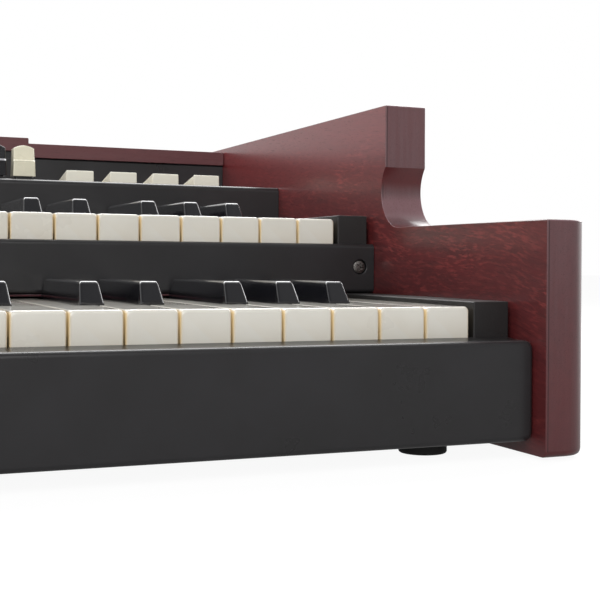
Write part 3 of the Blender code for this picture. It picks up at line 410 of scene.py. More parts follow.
@dataclass
class FoldedSheet:
    """Sheet folded along lines parallel to X, with windows cut through it.

    Args:
        corners: (y, z, radius) corners of the outer side.
        x_span: Left and right ends.
        thickness: Wall, to the right of the path.
        windows: Openings.
        level: Height of the flat part that the windows are in, for windows along Y.
        face: Place of the flat part that the windows are in, for windows along Z.
    """

    corners: Sequence[Sequence[float]]
    x_span: Limits
    thickness: float = 0.002
    windows: Sequence[Window] = ()
    level: float | None = None
    face: float | None = None
    bend_steps: int = 6

    def window_plane(self) -> tuple[int, int, float | None]:
        """Column of a path's points that is flat at the windows, the other column, and the flat's place."""
        return (1, 0, self.level) if self.level is not None else (0, 1, self.face)

    def path(self) -> np.ndarray:
        """Outer side, with points added where a window begins or ends.

        Returns:
            Array (n, 2) of (y, z) points.
        """
        path = filleted(self.corners, closed=False, steps=self.bend_steps)
        cuts = np.unique([limit for window in self.windows for limit in window.depth_span])
        if not len(cuts):
            return path
        flat, across, height = self.window_plane()
        on_flat = np.abs(path[:, flat] - height) < SAME_PLACE
        ends = np.flatnonzero(on_flat[:-1] & on_flat[1:])
        start = int(ends[np.argmax(np.abs(np.diff(path[:, across]))[ends])])
        step = 1 if path[start + 1, across] > path[start, across] else -1
        added = np.zeros((len(cuts), 2))
        added[:, flat] = height
        added[:, across] = cuts[::step]
        return np.insert(path, start + 1, added, axis=0)

    def cells(self, outer: np.ndarray, xs: np.ndarray) -> np.ndarray:
        """Which cells of the grid hold sheet: all but those inside a window.

        Args:
            outer: Points of the outer side.
            xs: Places of the grid's columns.

        Returns:
            Array (rows + 1, columns + 1) of truths, with an empty cell round the grid.
        """
        there = np.zeros((len(outer) + 1, len(xs) + 1), bool)
        there[1:-1, 1:-1] = True
        middle = (outer[1:] + outer[:-1]) / 2
        centre = (xs[1:] + xs[:-1]) / 2
        flat, across, height = self.window_plane()
        for window in self.windows:
            (left, right), (near, far) = window.x_span, window.depth_span
            row = (middle[:, across] > near) & (middle[:, across] < far)
            row &= np.abs(middle[:, flat] - height) < SAME_PLACE
            column = (centre > left) & (centre < right)
            there[1:-1, 1:-1] &= ~(row[:, None] & column[None, :])
        return there

    def surface(self) -> Surface:
        """Closed skin: the outer grid, the inner grid a wall behind it, and the walls of every edge.

        An edge between a cell that is there and one that is not gets a wall.

        Returns:
            The closed surface.
        """
        outer = self.path()
        step = np.gradient(outer, axis=0)
        step /= np.linalg.norm(step, axis=1)[:, None]
        inner = outer + self.thickness * np.stack([step[:, 1], -step[:, 0]], axis=1)
        limits = [limit for window in self.windows for limit in window.x_span]
        xs = np.unique(np.round([*self.x_span, *limits], PLACE_DIGITS))
        there = self.cells(outer, xs)
        shape = (len(outer), len(xs))
        across = np.broadcast_to(xs[None, :, None], (*shape, 1))
        sides = [
            np.concatenate([across, np.broadcast_to(side[:, None, :], (*shape, 2))], axis=-1)
            for side in (outer, inner)
        ]
        points = np.concatenate([side.reshape(-1, 3) for side in sides])
        offset = shape[0] * shape[1]
        front = np.arange(offset).reshape(shape)
        cell = there[1:-1, 1:-1]
        a, b, c, d = (m[cell] for m in (front[:-1, :-1], front[1:, :-1], front[1:, 1:], front[:-1, 1:]))
        quads = [np.stack([a, b, c, d], 1), np.stack([d, c, b, a], 1) + offset]
        walls = (
            (there[1:-1, :-1], there[1:-1, 1:], front[1:], front[:-1]),
            (there[:-1, 1:-1], there[1:, 1:-1], front[:, :-1], front[:, 1:]),
        )
        for near, far, start, end in walls:
            for hollow, solid, first, second in ((near, far, start, end), (far, near, end, start)):
                edge = solid & ~hollow
                low, high = first[edge], second[edge]
                quads.append(np.stack([low, high, high + offset, low + offset], 1))
        used, numbers = np.unique(np.concatenate(quads), return_inverse=True)
        return Surface(points[used], numbers.reshape(-1, 4)).outward()


# Shader building
class NodeWriter:
    """Adds shader nodes to a tree in short calls."""

    def __init__(self, tree: bpy.types.NodeTree) -> None:
        """Keeps the tree that nodes are added to."""
        self.tree = tree

    def feed(self, node: bpy.types.Node, inputs: dict) -> None:
        """Sets or links inputs of a node.

        Args:
            node: Node to feed.
            inputs: Values or output sockets, by input name or number.
        """
        for key, value in inputs.items():
            if isinstance(value, Socket):
                self.tree.links.new(value, node.inputs[key])
            else:
                node.inputs[key].default_value = value

    def add(self, kind: str, inputs: dict | None = None, **settings: object) -> bpy.types.Node:
        """Adds a node.

        Args:
            kind: Blender's name for the node's type.
            inputs: Values or output sockets, by input name or number.
            **settings: Properties of the node.

        Returns:
            The new node.
        """
        node = self.tree.nodes.new(kind)
        for name, value in settings.items():
            setattr(node, name, value)
        self.feed(node, inputs or {})
        return node

    def math(self, operation: str, *values: object, clamp: bool = False) -> Socket:
        """Output of a Math node over the given values."""
        inputs = dict(enumerate(values))
        return self.add("ShaderNodeMath", inputs, operation=operation, use_clamp=clamp).outputs[0]

    def product(self, first: object, *others: object) -> Socket:
        """Product of several values.

        Args:
            first: First value.
            *others: Values that it is multiplied by, one after the other.

        Returns:
            The product.
        """
        for other in others:
            first = self.math("MULTIPLY", first, other)
        return first

    def line(self, value: object, slope: object, start: object) -> Socket:
        """A value times a slope, plus a start."""
        return self.math("MULTIPLY_ADD", value, slope, start)

    def rest(self, value: object) -> Socket:
        """What is left of 1 after a value."""
        return self.math("SUBTRACT", 1.0, value)

    def band(self, value: object, low: float, high: float) -> Socket:
        """0 below a low limit, 1 above a high one and a smooth rise between them."""
        inputs = {"Value": value, "From Min": low, "From Max": high}
        return self.add("ShaderNodeMapRange", inputs, interpolation_type="SMOOTHSTEP").outputs[0]

    def hill(self, value: object, rise: Limits, fall: Limits) -> Socket:
        """A smooth rise and a smooth fall above it."""
        return self.product(self.band(value, *rise), self.rest(self.band(value, *fall)))

    def scaled(self, vector: object, scale: Sequence[float]) -> Socket:
        """A vector multiplied by three numbers."""
        inputs = {0: vector, 1: tuple(scale)}
        return self.add("ShaderNodeVectorMath", inputs, operation="MULTIPLY").outputs[0]

    def split(self, vector: object) -> bpy.types.NodeOutputs:
        """X, Y and Z of a vector, by name."""
        return self.add("ShaderNodeSeparateXYZ", {0: vector}).outputs

    def noise(self, vector: object, scale: object = 1.0, detail: float = 2.0, rough: float = 0.5) -> Socket:
        """Value of a noise pattern."""
        inputs = {"Vector": vector, "Scale": scale, "Detail": detail, "Roughness": rough}
        return self.add("ShaderNodeTexNoise", inputs).outputs[0]

    def mixed(self, share: object, first: object, second: object) -> Socket:
        """Colour between two others."""
        return self.add("ShaderNodeMix", {0: share, 6: first, 7: second}, data_type="RGBA").outputs[2]

    def bump(self, height: object, strength: float, distance: float = 0.0002) -> Socket:
        """Normal of a surface with a height pattern."""
        inputs = {"Height": height, "Strength": strength, "Distance": distance}
        return self.add("ShaderNodeBump", inputs).outputs[0]

    def shade(self) -> Socket:
        """Shade of the surface, as its piece stores it."""
        return self.add("ShaderNodeAttribute", attribute_name="shade").outputs["Fac"]


FLOAT = "NodeSocketFloat"
VECTOR = "NodeSocketVector"
WHITE = (1.0, 1.0, 1.0, 1.0)
BLACK = (0.0, 0.0, 0.0, 1.0)


def shader_group(
    name: str, inputs: dict[str, tuple[str, object]], outputs: Sequence[str]
) -> tuple[bpy.types.NodeTree, NodeWriter, bpy.types.NodeOutputs, bpy.types.Node]:
    """Starts a shader node group with named sockets.

    Args:
        name: Name of the group.
        inputs: Socket type and first value of each input, by name; a vector has None.
        outputs: Names of the outputs, which are all numbers.

    Returns:
        The group, its writer, its inputs by name and its output node.
    """
    tree = bpy.data.node_groups.new(name, "ShaderNodeTree")
    for socket_name, (kind, value) in inputs.items():
        socket = tree.interface.new_socket(name=socket_name, in_out="INPUT", socket_type=kind)
        if value is not None:
            socket.default_value = value
    for socket_name in outputs:
        tree.interface.new_socket(name=socket_name, in_out="OUTPUT", socket_type=FLOAT)
    writer = NodeWriter(tree)
    return tree, writer, writer.add("NodeGroupInput").outputs, writer.add("NodeGroupOutput")


@dataclass(frozen=True)
class WoodFigure:
    """Scales and limits of the wood figure, whose grain runs along X.

    A scale gives the patches per metre along X, Y and Z.
    """

    warp_scale: float = 9.0
    warp_reach: Triple = (0.012, 0.02, 0.02)
    band_scale: Triple = (4, 13, 13)
    band_share: float = 0.55
    grain_scale: Triple = (14, 210, 210)
    grain_share: float = 0.45
    cluster_scale: Triple = (24, 38, 38)
    cluster_limits: Limits = (0.42, 0.66)
    cluster_gain: float = 0.42
    stroke_scale: Triple = (130, 640, 640)
    stroke_limits: Limits = (0.44, 0.74)
    stroke_least: float = 0.24
    pore_scale: Triple = (95, 2300, 2300)
    pore_limits: Limits = (0.6, 0.74)
    pore_depth: float = 0.7

    def group(self) -> bpy.types.NodeTree:
        """Broad bands, short silky flecks in clusters, fine pores, and the height of grain and pores.

        Returns:
            The node group.
        """
        outputs = ("Bands", "Flecks", "Pores", "Height")
        tree, w, start, end = shader_group("wood figure", {"Vector": (VECTOR, None)}, outputs)
        noise = {"Vector": start["Vector"], "Scale": self.warp_scale, "Detail": 2.0}
        warp = w.add("ShaderNodeTexNoise", noise).outputs["Color"]
        centring = {0: warp, 1: (0.5, 0.5, 0.5)}
        centred = w.add("ShaderNodeVectorMath", centring, operation="SUBTRACT").outputs[0]
        bending = {0: centred, 1: self.warp_reach, 2: start["Vector"]}
        bent = w.add("ShaderNodeVectorMath", bending, operation="MULTIPLY_ADD").outputs[0]
        bands = w.noise(w.scaled(bent, self.band_scale), detail=3, rough=0.55)
        grain = w.noise(w.scaled(bent, self.grain_scale), detail=3, rough=0.6)
        clusters = w.band(w.noise(w.scaled(bent, self.cluster_scale), detail=1), *self.cluster_limits)
        strokes = w.noise(w.scaled(bent, self.stroke_scale), detail=2, rough=0.55)
        strokes = w.band(strokes, *self.stroke_limits)
        pores = w.band(w.noise(w.scaled(bent, self.pore_scale), detail=1), *self.pore_limits)
        broad = w.math("ADD", w.product(bands, self.band_share), w.product(grain, self.grain_share))
        w.feed(end, {
            "Bands": broad,
            "Flecks": w.product(strokes, w.line(clusters, self.cluster_gain, self.stroke_least)),
            "Pores": pores,
            "Height": w.math("SUBTRACT", grain, w.product(pores, self.pore_depth)),
        })
        return tree


@dataclass(frozen=True)
class FineSkin:
    """Fine moulded or sprayed skin, with patches per metre as scales."""

    grain: float = 1500.0
    blotch: float = 22.0
    rough: float = 0.6
    speck_share: float = 0.6
    speck_limits: Limits = (0.66, 0.74)

    def group(self) -> bpy.types.NodeTree:
        """A grainy height, a soft mottle and sparse specks.

        Returns:
            The node group.
        """
        inputs = {"Vector": (VECTOR, None), "Grain": (FLOAT, self.grain), "Blotch": (FLOAT, self.blotch)}
        tree, w, start, end = shader_group("fine skin", inputs, ("Height", "Mottle", "Specks"))
        vector, grain = start["Vector"], start["Grain"]
        specks = w.noise(vector, w.product(grain, self.speck_share), detail=0)
        w.feed(end, {
            "Height": w.noise(vector, grain, detail=2, rough=self.rough),
            "Mottle": w.noise(vector, start["Blotch"], detail=4, rough=self.rough),
            "Specks": w.band(specks, *self.speck_limits),
        })
        return tree


@dataclass(frozen=True)
class SettledDust:
    """Thin dust on faces that look up."""

    amount: float = 0.1
    slopes: Limits = (0.55, 1.0)
    patch_scale: float = 60.0
    patch_rough: float = 0.7
    patch_limits: Limits = (0.35, 0.75)

    def group(self) -> bpy.types.NodeTree:
        """Share of dust: its amount where a face looks up, broken by noise.

        Returns:
            The node group.
        """
        inputs = {"Vector": (VECTOR, None), "Amount": (FLOAT, self.amount)}
        tree, w, start, end = shader_group("settled dust", inputs, ("Mask",))
        facing = w.split(w.add("ShaderNodeNewGeometry").outputs["Normal"])
        upward = w.band(facing["Z"], *self.slopes)
        patches = w.noise(start["Vector"], self.patch_scale, detail=4, rough=self.patch_rough)
        patches = w.band(patches, *self.patch_limits)
        w.feed(end, {"Mask": w.product(start["Amount"], w.product(upward, patches))})
        return tree


@dataclass
class Effects:
    """Shader node groups that several finishes share."""

    figure: bpy.types.NodeTree
    skin: bpy.types.NodeTree
    dust: bpy.types.NodeTree

    @classmethod
    def built(cls) -> "Effects":
        """Builds every group once."""
        return cls(WoodFigure().group(), FineSkin().group(), SettledDust().group())


@dataclass(frozen=True)
class Finish:
    """A finish: its name, slot, two colours and the numbers on its shader."""

    name: str
    slot: str
    colour: Colour
    deep: Colour
    roughness: float = 0.4
    metallic: float = 0.0
    coat: float = 0.0
    coat_roughness: float = 0.2
    specular: float = 0.5
    grain: float = 1500.0
    mottle: Limits = (0.3, 0.7)
    relief: float = 0.1
    speckle: float = 0.15
    dust: float = 0.08
    dust_colour: Colour = (176, 172, 165)
    shade_share: float = 0.6
    gloss_least: float = 0.9
    gloss_gain: float = 0.2

    def material(self, effects: Effects) -> bpy.types.Material:
        """Builds the material.

        Args:
            effects: Shared node groups.

        Returns:
            The material, painted by the finish.
        """
        material = bpy.data.materials.new(self.name)
        material.use_nodes = True
        w = NodeWriter(material.node_tree)
        shader = material.node_tree.nodes["Principled BSDF"]
        w.feed(shader, {
            "Metallic": self.metallic,
            "Coat Weight": self.coat,
            "Coat Roughness": self.coat_roughness,
            "Specular IOR Level": self.specular,
        })
        self.paint(w, shader, w.add("ShaderNodeTexCoord").outputs["Object"], effects)
        return material

    def dusted(self, w: NodeWriter, vector: object, colour: object, effects: Effects) -> Socket:
        """Lays the dust over a colour.

        Args:
            w: Writer of the material's nodes.
            vector: Object coordinates.
            colour: Colour under the dust.
            effects: Shared node groups.

        Returns:
            The dusty colour.
        """
        mask = w.add("ShaderNodeGroup", node_tree=effects.dust)
        w.feed(mask, {"Vector": vector, "Amount": self.dust})
        return w.mixed(mask.outputs[0], colour, tint(*self.dust_colour))

    def paint(self, w: NodeWriter, shader: bpy.types.Node, vector: Socket, effects: Effects) -> None:
        """Skinned plastic, paint or rubber: mottled colour, speckled gloss, a grainy bump, and the painted
        shade and painted glow that its piece stores.

        Args:
            w: Writer of the material's nodes.
            shader: Its shader.
            vector: Object coordinates.
            effects: Shared node groups.
        """
        skin = w.add("ShaderNodeGroup", node_tree=effects.skin)
        w.feed(skin, {"Vector": vector, "Grain": self.grain})
        mottle = w.band(skin.outputs["Mottle"], *self.mottle)
        colour = w.mixed(mottle, tint(*self.deep), tint(*self.colour))
        # Painted shade: the stored shade mixes in the shade colour, and its part over 1 adds a painted glow.
        shade = w.shade()
        share = w.product(w.math("MINIMUM", shade, 1.0), self.shade_share)
        colour = w.mixed(share, colour, tint(*self.shade_colour()))
        gloss = w.line(mottle, self.roughness * self.gloss_gain, self.roughness * self.gloss_least)
        gloss = w.line(skin.outputs["Specks"], self.roughness * self.speckle, gloss)
        w.feed(shader, {
            "Base Color": self.dusted(w, vector, colour, effects),
            "Roughness": gloss,
            "Normal": w.bump(skin.outputs["Height"], self.relief),
        })
        self.add_painted_glow(w, shader, shade)

    def add_painted_glow(self, w: NodeWriter, shader: bpy.types.Node, shade: Socket) -> None:
        """Adds a painted glow where the finish has one; most have none."""

    def shade_colour(self) -> Colour:
        """Display colour of the painted shade of a surface."""
        return self.deep


@dataclass(frozen=True)
class GlossFinish(Finish):
    """Glossy plastic with a painted shade colour where it is shaded, and a painted glow where its shade is
    over 1.

    Args:
        gap: Colour of the painted shade, such as on the sides of keys, knobs and tabs.
        through: Colour of the painted glow: painted light coming through the plastic on the walls between
            keys, and a painted highlight on the ledges of knobs.
        glow: Strength of the painted glow.
    """

    # Share and colour of the painted shade, and colour and strength of the painted glow.
    shade_share: float = 0.7
    gap: Colour = (210, 184, 138)
    through: Colour = (198, 180, 128)
    glow: float = 0.5

    def add_painted_glow(self, w: NodeWriter, shader: bpy.types.Node, shade: Socket) -> None:
        """Adds the painted glow, which grows with the part of the shade that is over 1.

        Args:
            w: Writer of the material's nodes.
            shader: Its shader.
            shade: Shade of the surface.
        """
        extra = w.math("SUBTRACT", shade, 1.0, clamp=True)
        light = w.mixed(extra, BLACK, tint(*self.through))
        w.feed(shader, {"Emission Color": light, "Emission Strength": self.glow})

    def shade_colour(self) -> Colour:
        """Display colour of the painted shade of the plastic."""
        return self.gap


@dataclass(frozen=True)
class WoodFinish(Finish):
    """Stained and lacquered wood with silky flecks.

    Heights are the two Z between which an effect rises, and slopes, rises and falls are such limits for the
    Z of the normal. A face is end grain where the Y of its normal is past its limits.

    Args:
        fleck: Colour of the flecks, which lose a share of their strength over their heights.
        pale: Colour that comes in towards the top.
        low_share: How far a painted shade darkens the wood towards the bottom.
        end_share: How far its end grain darkens.
        painted_reflection: Colour of a painted reflection, a pale veil of mirrored light on upright end
            grain, broken into columns by their scales.
        hollow: Colour of a painted highlight at the foot of a hollow.
        dark: Colour of pores, seams and the painted shade on the rims of rounded edges.
        turn: Direction of the grain.
    """

    fleck: Colour = (152, 66, 63)
    fleck_heights: Limits = (0.14, 0.178)
    fleck_loss: float = 0.7
    pale: Colour = (138, 46, 48)
    pale_heights: Limits = (0.125, 0.175)
    pale_share: float = 0.45
    # Painted shade towards the bottom.
    low_heights: Limits = (0.01, 0.12)
    low_share: float = 0.3
    end_limits: Limits = (0.2, 0.5)
    end_share: float = 0.6
    # Painted reflection on upright end grain, and the columns it breaks into.
    painted_reflection: Colour = (112, 92, 95)
    painted_reflection_heights: Limits = (0.01, 0.16)
    painted_reflection_least: float = 0.2
    painted_reflection_gain: float = 0.7
    painted_reflection_slopes: Limits = (-0.3, 0.12)
    painted_reflection_share: float = 1.0
    columns: Triple = (420.0, 420.0, 26.0)
    column_least: float = 0.75
    column_gain: float = 0.2
    # Painted highlight at the foot of the hollow.
    hollow: Colour = (150, 112, 118)
    hollow_rise: Limits = (0.0, 0.3)
    hollow_fall: Limits = (0.6, 0.9)
    hollow_share: float = 0.45
    dark: Colour = (34, 14, 16)
    # Painted shade on the rims of rounded edges.
    rim_rise: Limits = (0.12, 0.35)
    rim_fall: Limits = (0.8, 0.97)
    rim_along: float = 0.6
    rim_across: float = 0.0
    seam_slopes: Limits = (0.1, 0.3)
    seam_share: float = 0.9
    pore_share: float = 0.4
    pore_gloss: float = 0.12
    band_limits: Limits = (0.36, 0.62)
    turn: Triple = (0.0, 0.0, 0.0)

    def paint(self, w: NodeWriter, shader: bpy.types.Node, vector: Socket, effects: Effects) -> None:
        """Dark red figure with flecks, then the painted reflection and the painted highlight in the hollow,
        then the dark lines.

        Args:
            w: Writer of the material's nodes.
            shader: Its shader.
            vector: Object coordinates.
            effects: Shared node groups.
        """
        turned = w.add("ShaderNodeMapping", {"Vector": vector, "Rotation": self.turn}).outputs[0]
        group = w.add("ShaderNodeGroup", node_tree=effects.figure)
        w.feed(group, {"Vector": turned})
        figure = group.outputs
        facing = w.split(w.add("ShaderNodeNewGeometry").outputs["Normal"])
        height = w.split(vector)["Z"]
        end_grain = w.band(w.math("ABSOLUTE", facing["Y"]), *self.end_limits)
        colour = self.grained(w, figure, height, end_grain)
        # Painted reflection: a pale veil on upright end grain, stronger higher up and broken into columns.
        painted_reflection = w.line(w.band(height, *self.painted_reflection_heights), self.painted_reflection_gain, self.painted_reflection_least)
        columns = w.band(w.noise(w.scaled(vector, self.columns), detail=3, rough=0.6), *self.mottle)
        painted_reflection = w.product(painted_reflection, w.line(columns, self.column_gain, self.column_least))
        painted_reflection = w.product(painted_reflection, w.band(facing["Z"], *self.painted_reflection_slopes), w.product(end_grain, self.painted_reflection_share))
        colour = w.mixed(painted_reflection, colour, tint(*self.painted_reflection))
        # Painted highlight at the foot of the hollow.
        hollow = w.hill(facing["Z"], self.hollow_rise, self.hollow_fall)
        hollow = w.product(hollow, w.product(end_grain, self.hollow_share))
        colour = w.mixed(hollow, colour, tint(*self.hollow))
        # Dark lines, with the painted shade on the rims.
        colour = w.mixed(self.lines(w, figure, facing, end_grain), colour, tint(*self.dark))
        w.feed(shader, {
            "Base Color": self.dusted(w, vector, colour, effects),
            "Roughness": w.line(figure["Pores"], self.pore_gloss, self.roughness),
            "Normal": w.bump(figure["Height"], self.relief),
        })

    def grained(
        self, w: NodeWriter, figure: bpy.types.NodeOutputs, height: object, end_grain: object
    ) -> Socket:
        """Colour of the bare wood: bands, flecks, a paler top, a painted shade towards the bottom, and darker
        end grain.

        Args:
            w: Writer of the material's nodes.
            figure: Outputs of the wood figure.
            height: Z of the place.
            end_grain: Share of end grain.

        Returns:
            The colour.
        """
        colour = w.mixed(w.band(figure["Bands"], *self.band_limits), tint(*self.deep), tint(*self.colour))
        left = w.line(w.band(height, *self.fleck_heights), -self.fleck_loss, 1.0)
        flecks = w.product(figure["Flecks"], left, w.rest(end_grain))
        colour = w.mixed(flecks, colour, tint(*self.fleck))
        pale = w.product(w.band(height, *self.pale_heights), self.pale_share)
        colour = w.mixed(pale, colour, tint(*self.pale))
        # Painted shade towards the bottom.
        low = w.line(w.band(height, *self.low_heights), -self.low_share, self.low_share)
        deepened = w.math("MAXIMUM", low, w.product(end_grain, self.end_share))
        return w.mixed(deepened, colour, tint(*self.deep))

    def lines(
        self, w: NodeWriter, figure: bpy.types.NodeOutputs, facing: bpy.types.NodeOutputs, end_grain: object
    ) -> Socket:
        """Share of the dark lines: pores, seams on upright end grain, and a painted shade on the rims of
        rounded edges.

        Args:
            w: Writer of the material's nodes.
            figure: Outputs of the wood figure.
            facing: X, Y and Z of the normal.
            end_grain: Share of end grain.

        Returns:
            The share, the largest of the three.
        """
        # Painted shade on the rims of rounded edges.
        rim = w.hill(facing["Z"], self.rim_rise, self.rim_fall)
        rim = w.product(rim, w.math("MAXIMUM", w.product(w.rest(end_grain), self.rim_along), self.rim_across))
        upright = w.rest(w.band(w.math("ABSOLUTE", facing["Z"]), *self.seam_slopes))
        seam = w.product(w.product(w.shade(), self.seam_share), w.product(upright, end_grain))
        pores = w.product(figure["Pores"], self.pore_share)
        return w.math("MAXIMUM", pores, w.math("MAXIMUM", seam, rim))


@dataclass(frozen=True)
class BrushedFinish(Finish):
    """Plated metal with fine lines along X."""

    streaks: Triple = (40, 2600, 2600)
    streak_gloss: float = 0.25
    streak_depth: float = 0.0001

    def paint(self, w: NodeWriter, shader: bpy.types.Node, vector: Socket, effects: Effects) -> None:
        """Streaked colour, gloss and height.

        Args:
            w: Writer of the material's nodes.
            shader: Its shader.
            vector: Object coordinates.
            effects: Shared node groups.
        """
        streaks = w.noise(w.scaled(vector, self.streaks), detail=3, rough=0.7)
        colour = w.mixed(w.band(streaks, *self.mottle), tint(*self.deep), tint(*self.colour))
        w.feed(shader, {
            "Base Color": self.dusted(w, vector, colour, effects),
            "Roughness": w.line(streaks, self.streak_gloss, self.roughness),
            "Normal": w.bump(streaks, self.relief, self.streak_depth),
        })


@dataclass(frozen=True)
class FeltFinish(Finish):
    """Pressed felt of tangled fibres."""

    fibres: tuple[Triple, ...] = ((300, 3000, 1500), (2600, 420, 1500))
    fibre_limits: Limits = (0.45, 0.75)
    fibre_depth: float = 0.0004
    sheen: float = 0.3

    def paint(self, w: NodeWriter, shader: bpy.types.Node, vector: Socket, effects: Effects) -> None:
        """Fibres from two crossed stretched noises, in colour and height.

        Args:
            w: Writer of the material's nodes.
            shader: Its shader.
            vector: Object coordinates.
            effects: Shared node groups.
        """
        first, second = (w.noise(w.scaled(vector, scale), detail=3) for scale in self.fibres)
        fibres = w.math("MAXIMUM", first, second)
        colour = w.mixed(w.band(fibres, *self.fibre_limits), tint(*self.deep), tint(*self.colour))
        w.feed(shader, {
            "Base Color": self.dusted(w, vector, colour, effects),
            "Roughness": self.roughness,
            "Sheen Weight": self.sheen,
            "Normal": w.bump(fibres, self.relief, self.fibre_depth),
        })


@dataclass(frozen=True)
class BoardFinish(Finish):
    """Circuit board: green mask over a maze of copper tracks with tinned pads."""

    tin: Colour = (186, 186, 180)
    cell_scale: float = 130.0
    pad_scale: float = 390.0
    pad_radius: float = 0.2
    track_pitch: float = 0.12
    track_limits: Limits = (0.075, 0.09)
    patch_scale: float = 40.0
    patch_limits: Limits = (0.52, 0.56)
    track_depth: float = 0.0001

    def paint(self, w: NodeWriter, shader: bpy.types.Node, vector: Socket, effects: Effects) -> None:
        """Tracks are the edges of square cells, and pads are dots on a grid.

        Args:
            w: Writer of the material's nodes.
            shader: Its shader.
            vector: Object coordinates.
            effects: Shared node groups.
        """
        inputs = {"Vector": vector, "Scale": self.cell_scale, "Randomness": 0.85}
        cells = w.add("ShaderNodeTexVoronoi", inputs, distance="CHEBYCHEV", feature="F1")
        ripple = w.math("PINGPONG", cells.outputs["Distance"], self.track_pitch)
        track = w.band(ripple, *self.track_limits)
        inputs = {"Vector": vector, "Scale": self.pad_scale, "Randomness": 0.0}
        dots = w.add("ShaderNodeTexVoronoi", inputs)
        pad = w.math("LESS_THAN", dots.outputs["Distance"], self.pad_radius)
        patch = w.band(w.noise(vector, self.patch_scale), *self.patch_limits)
        colour = w.mixed(track, tint(*self.deep), tint(*self.colour))
        colour = w.mixed(w.product(pad, patch), colour, tint(*self.tin))
        w.feed(shader, {
            "Base Color": self.dusted(w, vector, colour, effects),
            "Roughness": self.roughness,
            "Normal": w.bump(track, self.relief, self.track_depth),
        })


GRAIN_ALONG_DEPTH = (math.radians(-5), 0.0, math.radians(-90))
FINISHES: dict[str, Finish] = {
    # Cheeks: painted shade towards the bottom and on rims, a painted reflection on end grain and a painted
    # highlight in the hollow.
    "cheek": WoodFinish(
        "cheek_mahogany", "mahogany", (98, 37, 39), (78, 32, 34), roughness=0.34, coat=0.5,
        specular=0.3, relief=0.15, dust=0.02, turn=GRAIN_ALONG_DEPTH,
    ),
    # Lid: painted shade on its rims and a weaker painted reflection on end grain.
    "lid": WoodFinish(
        "lid_mahogany", "mahogany", (108, 42, 44), (80, 28, 32), roughness=0.38, coat=0.25,
        coat_roughness=0.3, relief=0.15, dust=0.04, columns=(26.0, 420.0, 420.0), painted_reflection_share=0.45,
        hollow_share=0.0, rim_across=0.8,
    ),
    "powder": Finish(
        "black_powder_coat", "powder_coat", (42, 41, 43), (38, 37, 38), roughness=0.3, relief=0.05,
        speckle=0.03, dust=0.0,
    ),
    "block": Finish(
        "black_end_block", "black_plastic", (38, 36, 36), (31, 30, 30), roughness=0.45, relief=0.3,
        dust=0.04,
    ),
    "moulded": Finish(
        "black_moulded", "black_plastic", (36, 35, 36), (28, 28, 29), roughness=0.38, relief=0.2,
        dust=0.04,
    ),
    "rubber": Finish(
        "foot_rubber", "foot_rubber", (34, 33, 33), (24, 24, 24), roughness=0.75, grain=900.0, relief=0.4,
    ),
    # Ivory keys: tan painted shade at the sides and a painted glow on the gap walls, for light through the
    # plastic.
    "ivory": GlossFinish(
        "ivory_plastic", "ivory_plastic", (228, 225, 215), (223, 219, 208), roughness=0.3, coat=0.9,
        coat_roughness=0.06, grain=400.0, relief=0.01, speckle=0.02, dust=0.0,
    ),
    # Cream knobs: olive painted shade on the sides and a painted highlight on the ledge.
    "cream": GlossFinish(
        "cream_plastic", "ivory_plastic", (236, 231, 208), (231, 226, 202), roughness=0.3, coat=0.15,
        coat_roughness=0.15, grain=900.0, relief=0.02, speckle=0.03, dust=0.0, gap=(96, 90, 66),
        through=(240, 236, 220), glow=0.62,
    ),
    # Tabs: tan painted shade on the sides.
    "tab": GlossFinish(
        "tab_plastic", "ivory_plastic", (250, 247, 231), (246, 242, 225), roughness=0.3, coat=0.15,
        coat_roughness=0.15, grain=900.0, relief=0.02, speckle=0.03, dust=0.0,
    ),
    # Ebony knobs: painted shade on the sides and a painted highlight on the ledge.
    "ebony": GlossFinish(
        "ebony_plastic", "ebony_plastic", (18, 18, 23), (14, 14, 19), roughness=0.2, coat=0.7,
        coat_roughness=0.06, grain=900.0, relief=0.03, dust=0.0, gap=(14, 14, 18),
        through=(200, 198, 202), glow=0.7,
    ),
    # Brown knobs: painted shade on the sides and a painted highlight on the ledge.
    "brown": GlossFinish(
        "brown_plastic", "brown_plastic", (86, 46, 32), (72, 37, 26), roughness=0.26, coat=0.3,
        coat_roughness=0.1, grain=900.0, relief=0.04, dust=0.02, gap=(52, 27, 19),
        through=(186, 150, 130), glow=0.8,
    ),
    "steel": BrushedFinish(
        "plated_steel", "steel", (186, 186, 188), (158, 158, 162), roughness=0.25, metallic=1.0, dust=0.05,
    ),
    "screw": BrushedFinish(
        "blackened_steel", "steel", (150, 146, 142), (92, 90, 88), roughness=0.22, metallic=1.0,
        relief=0.2, dust=0.0,
    ),
    "felt": FeltFinish("red_felt", "red_felt", (88, 24, 36), (52, 12, 20), roughness=0.95, relief=0.7),
    "board": BoardFinish(
        "circuit_board", "circuit_board", (38, 104, 66), (18, 66, 42), roughness=0.35, relief=0.2,
    ),
}


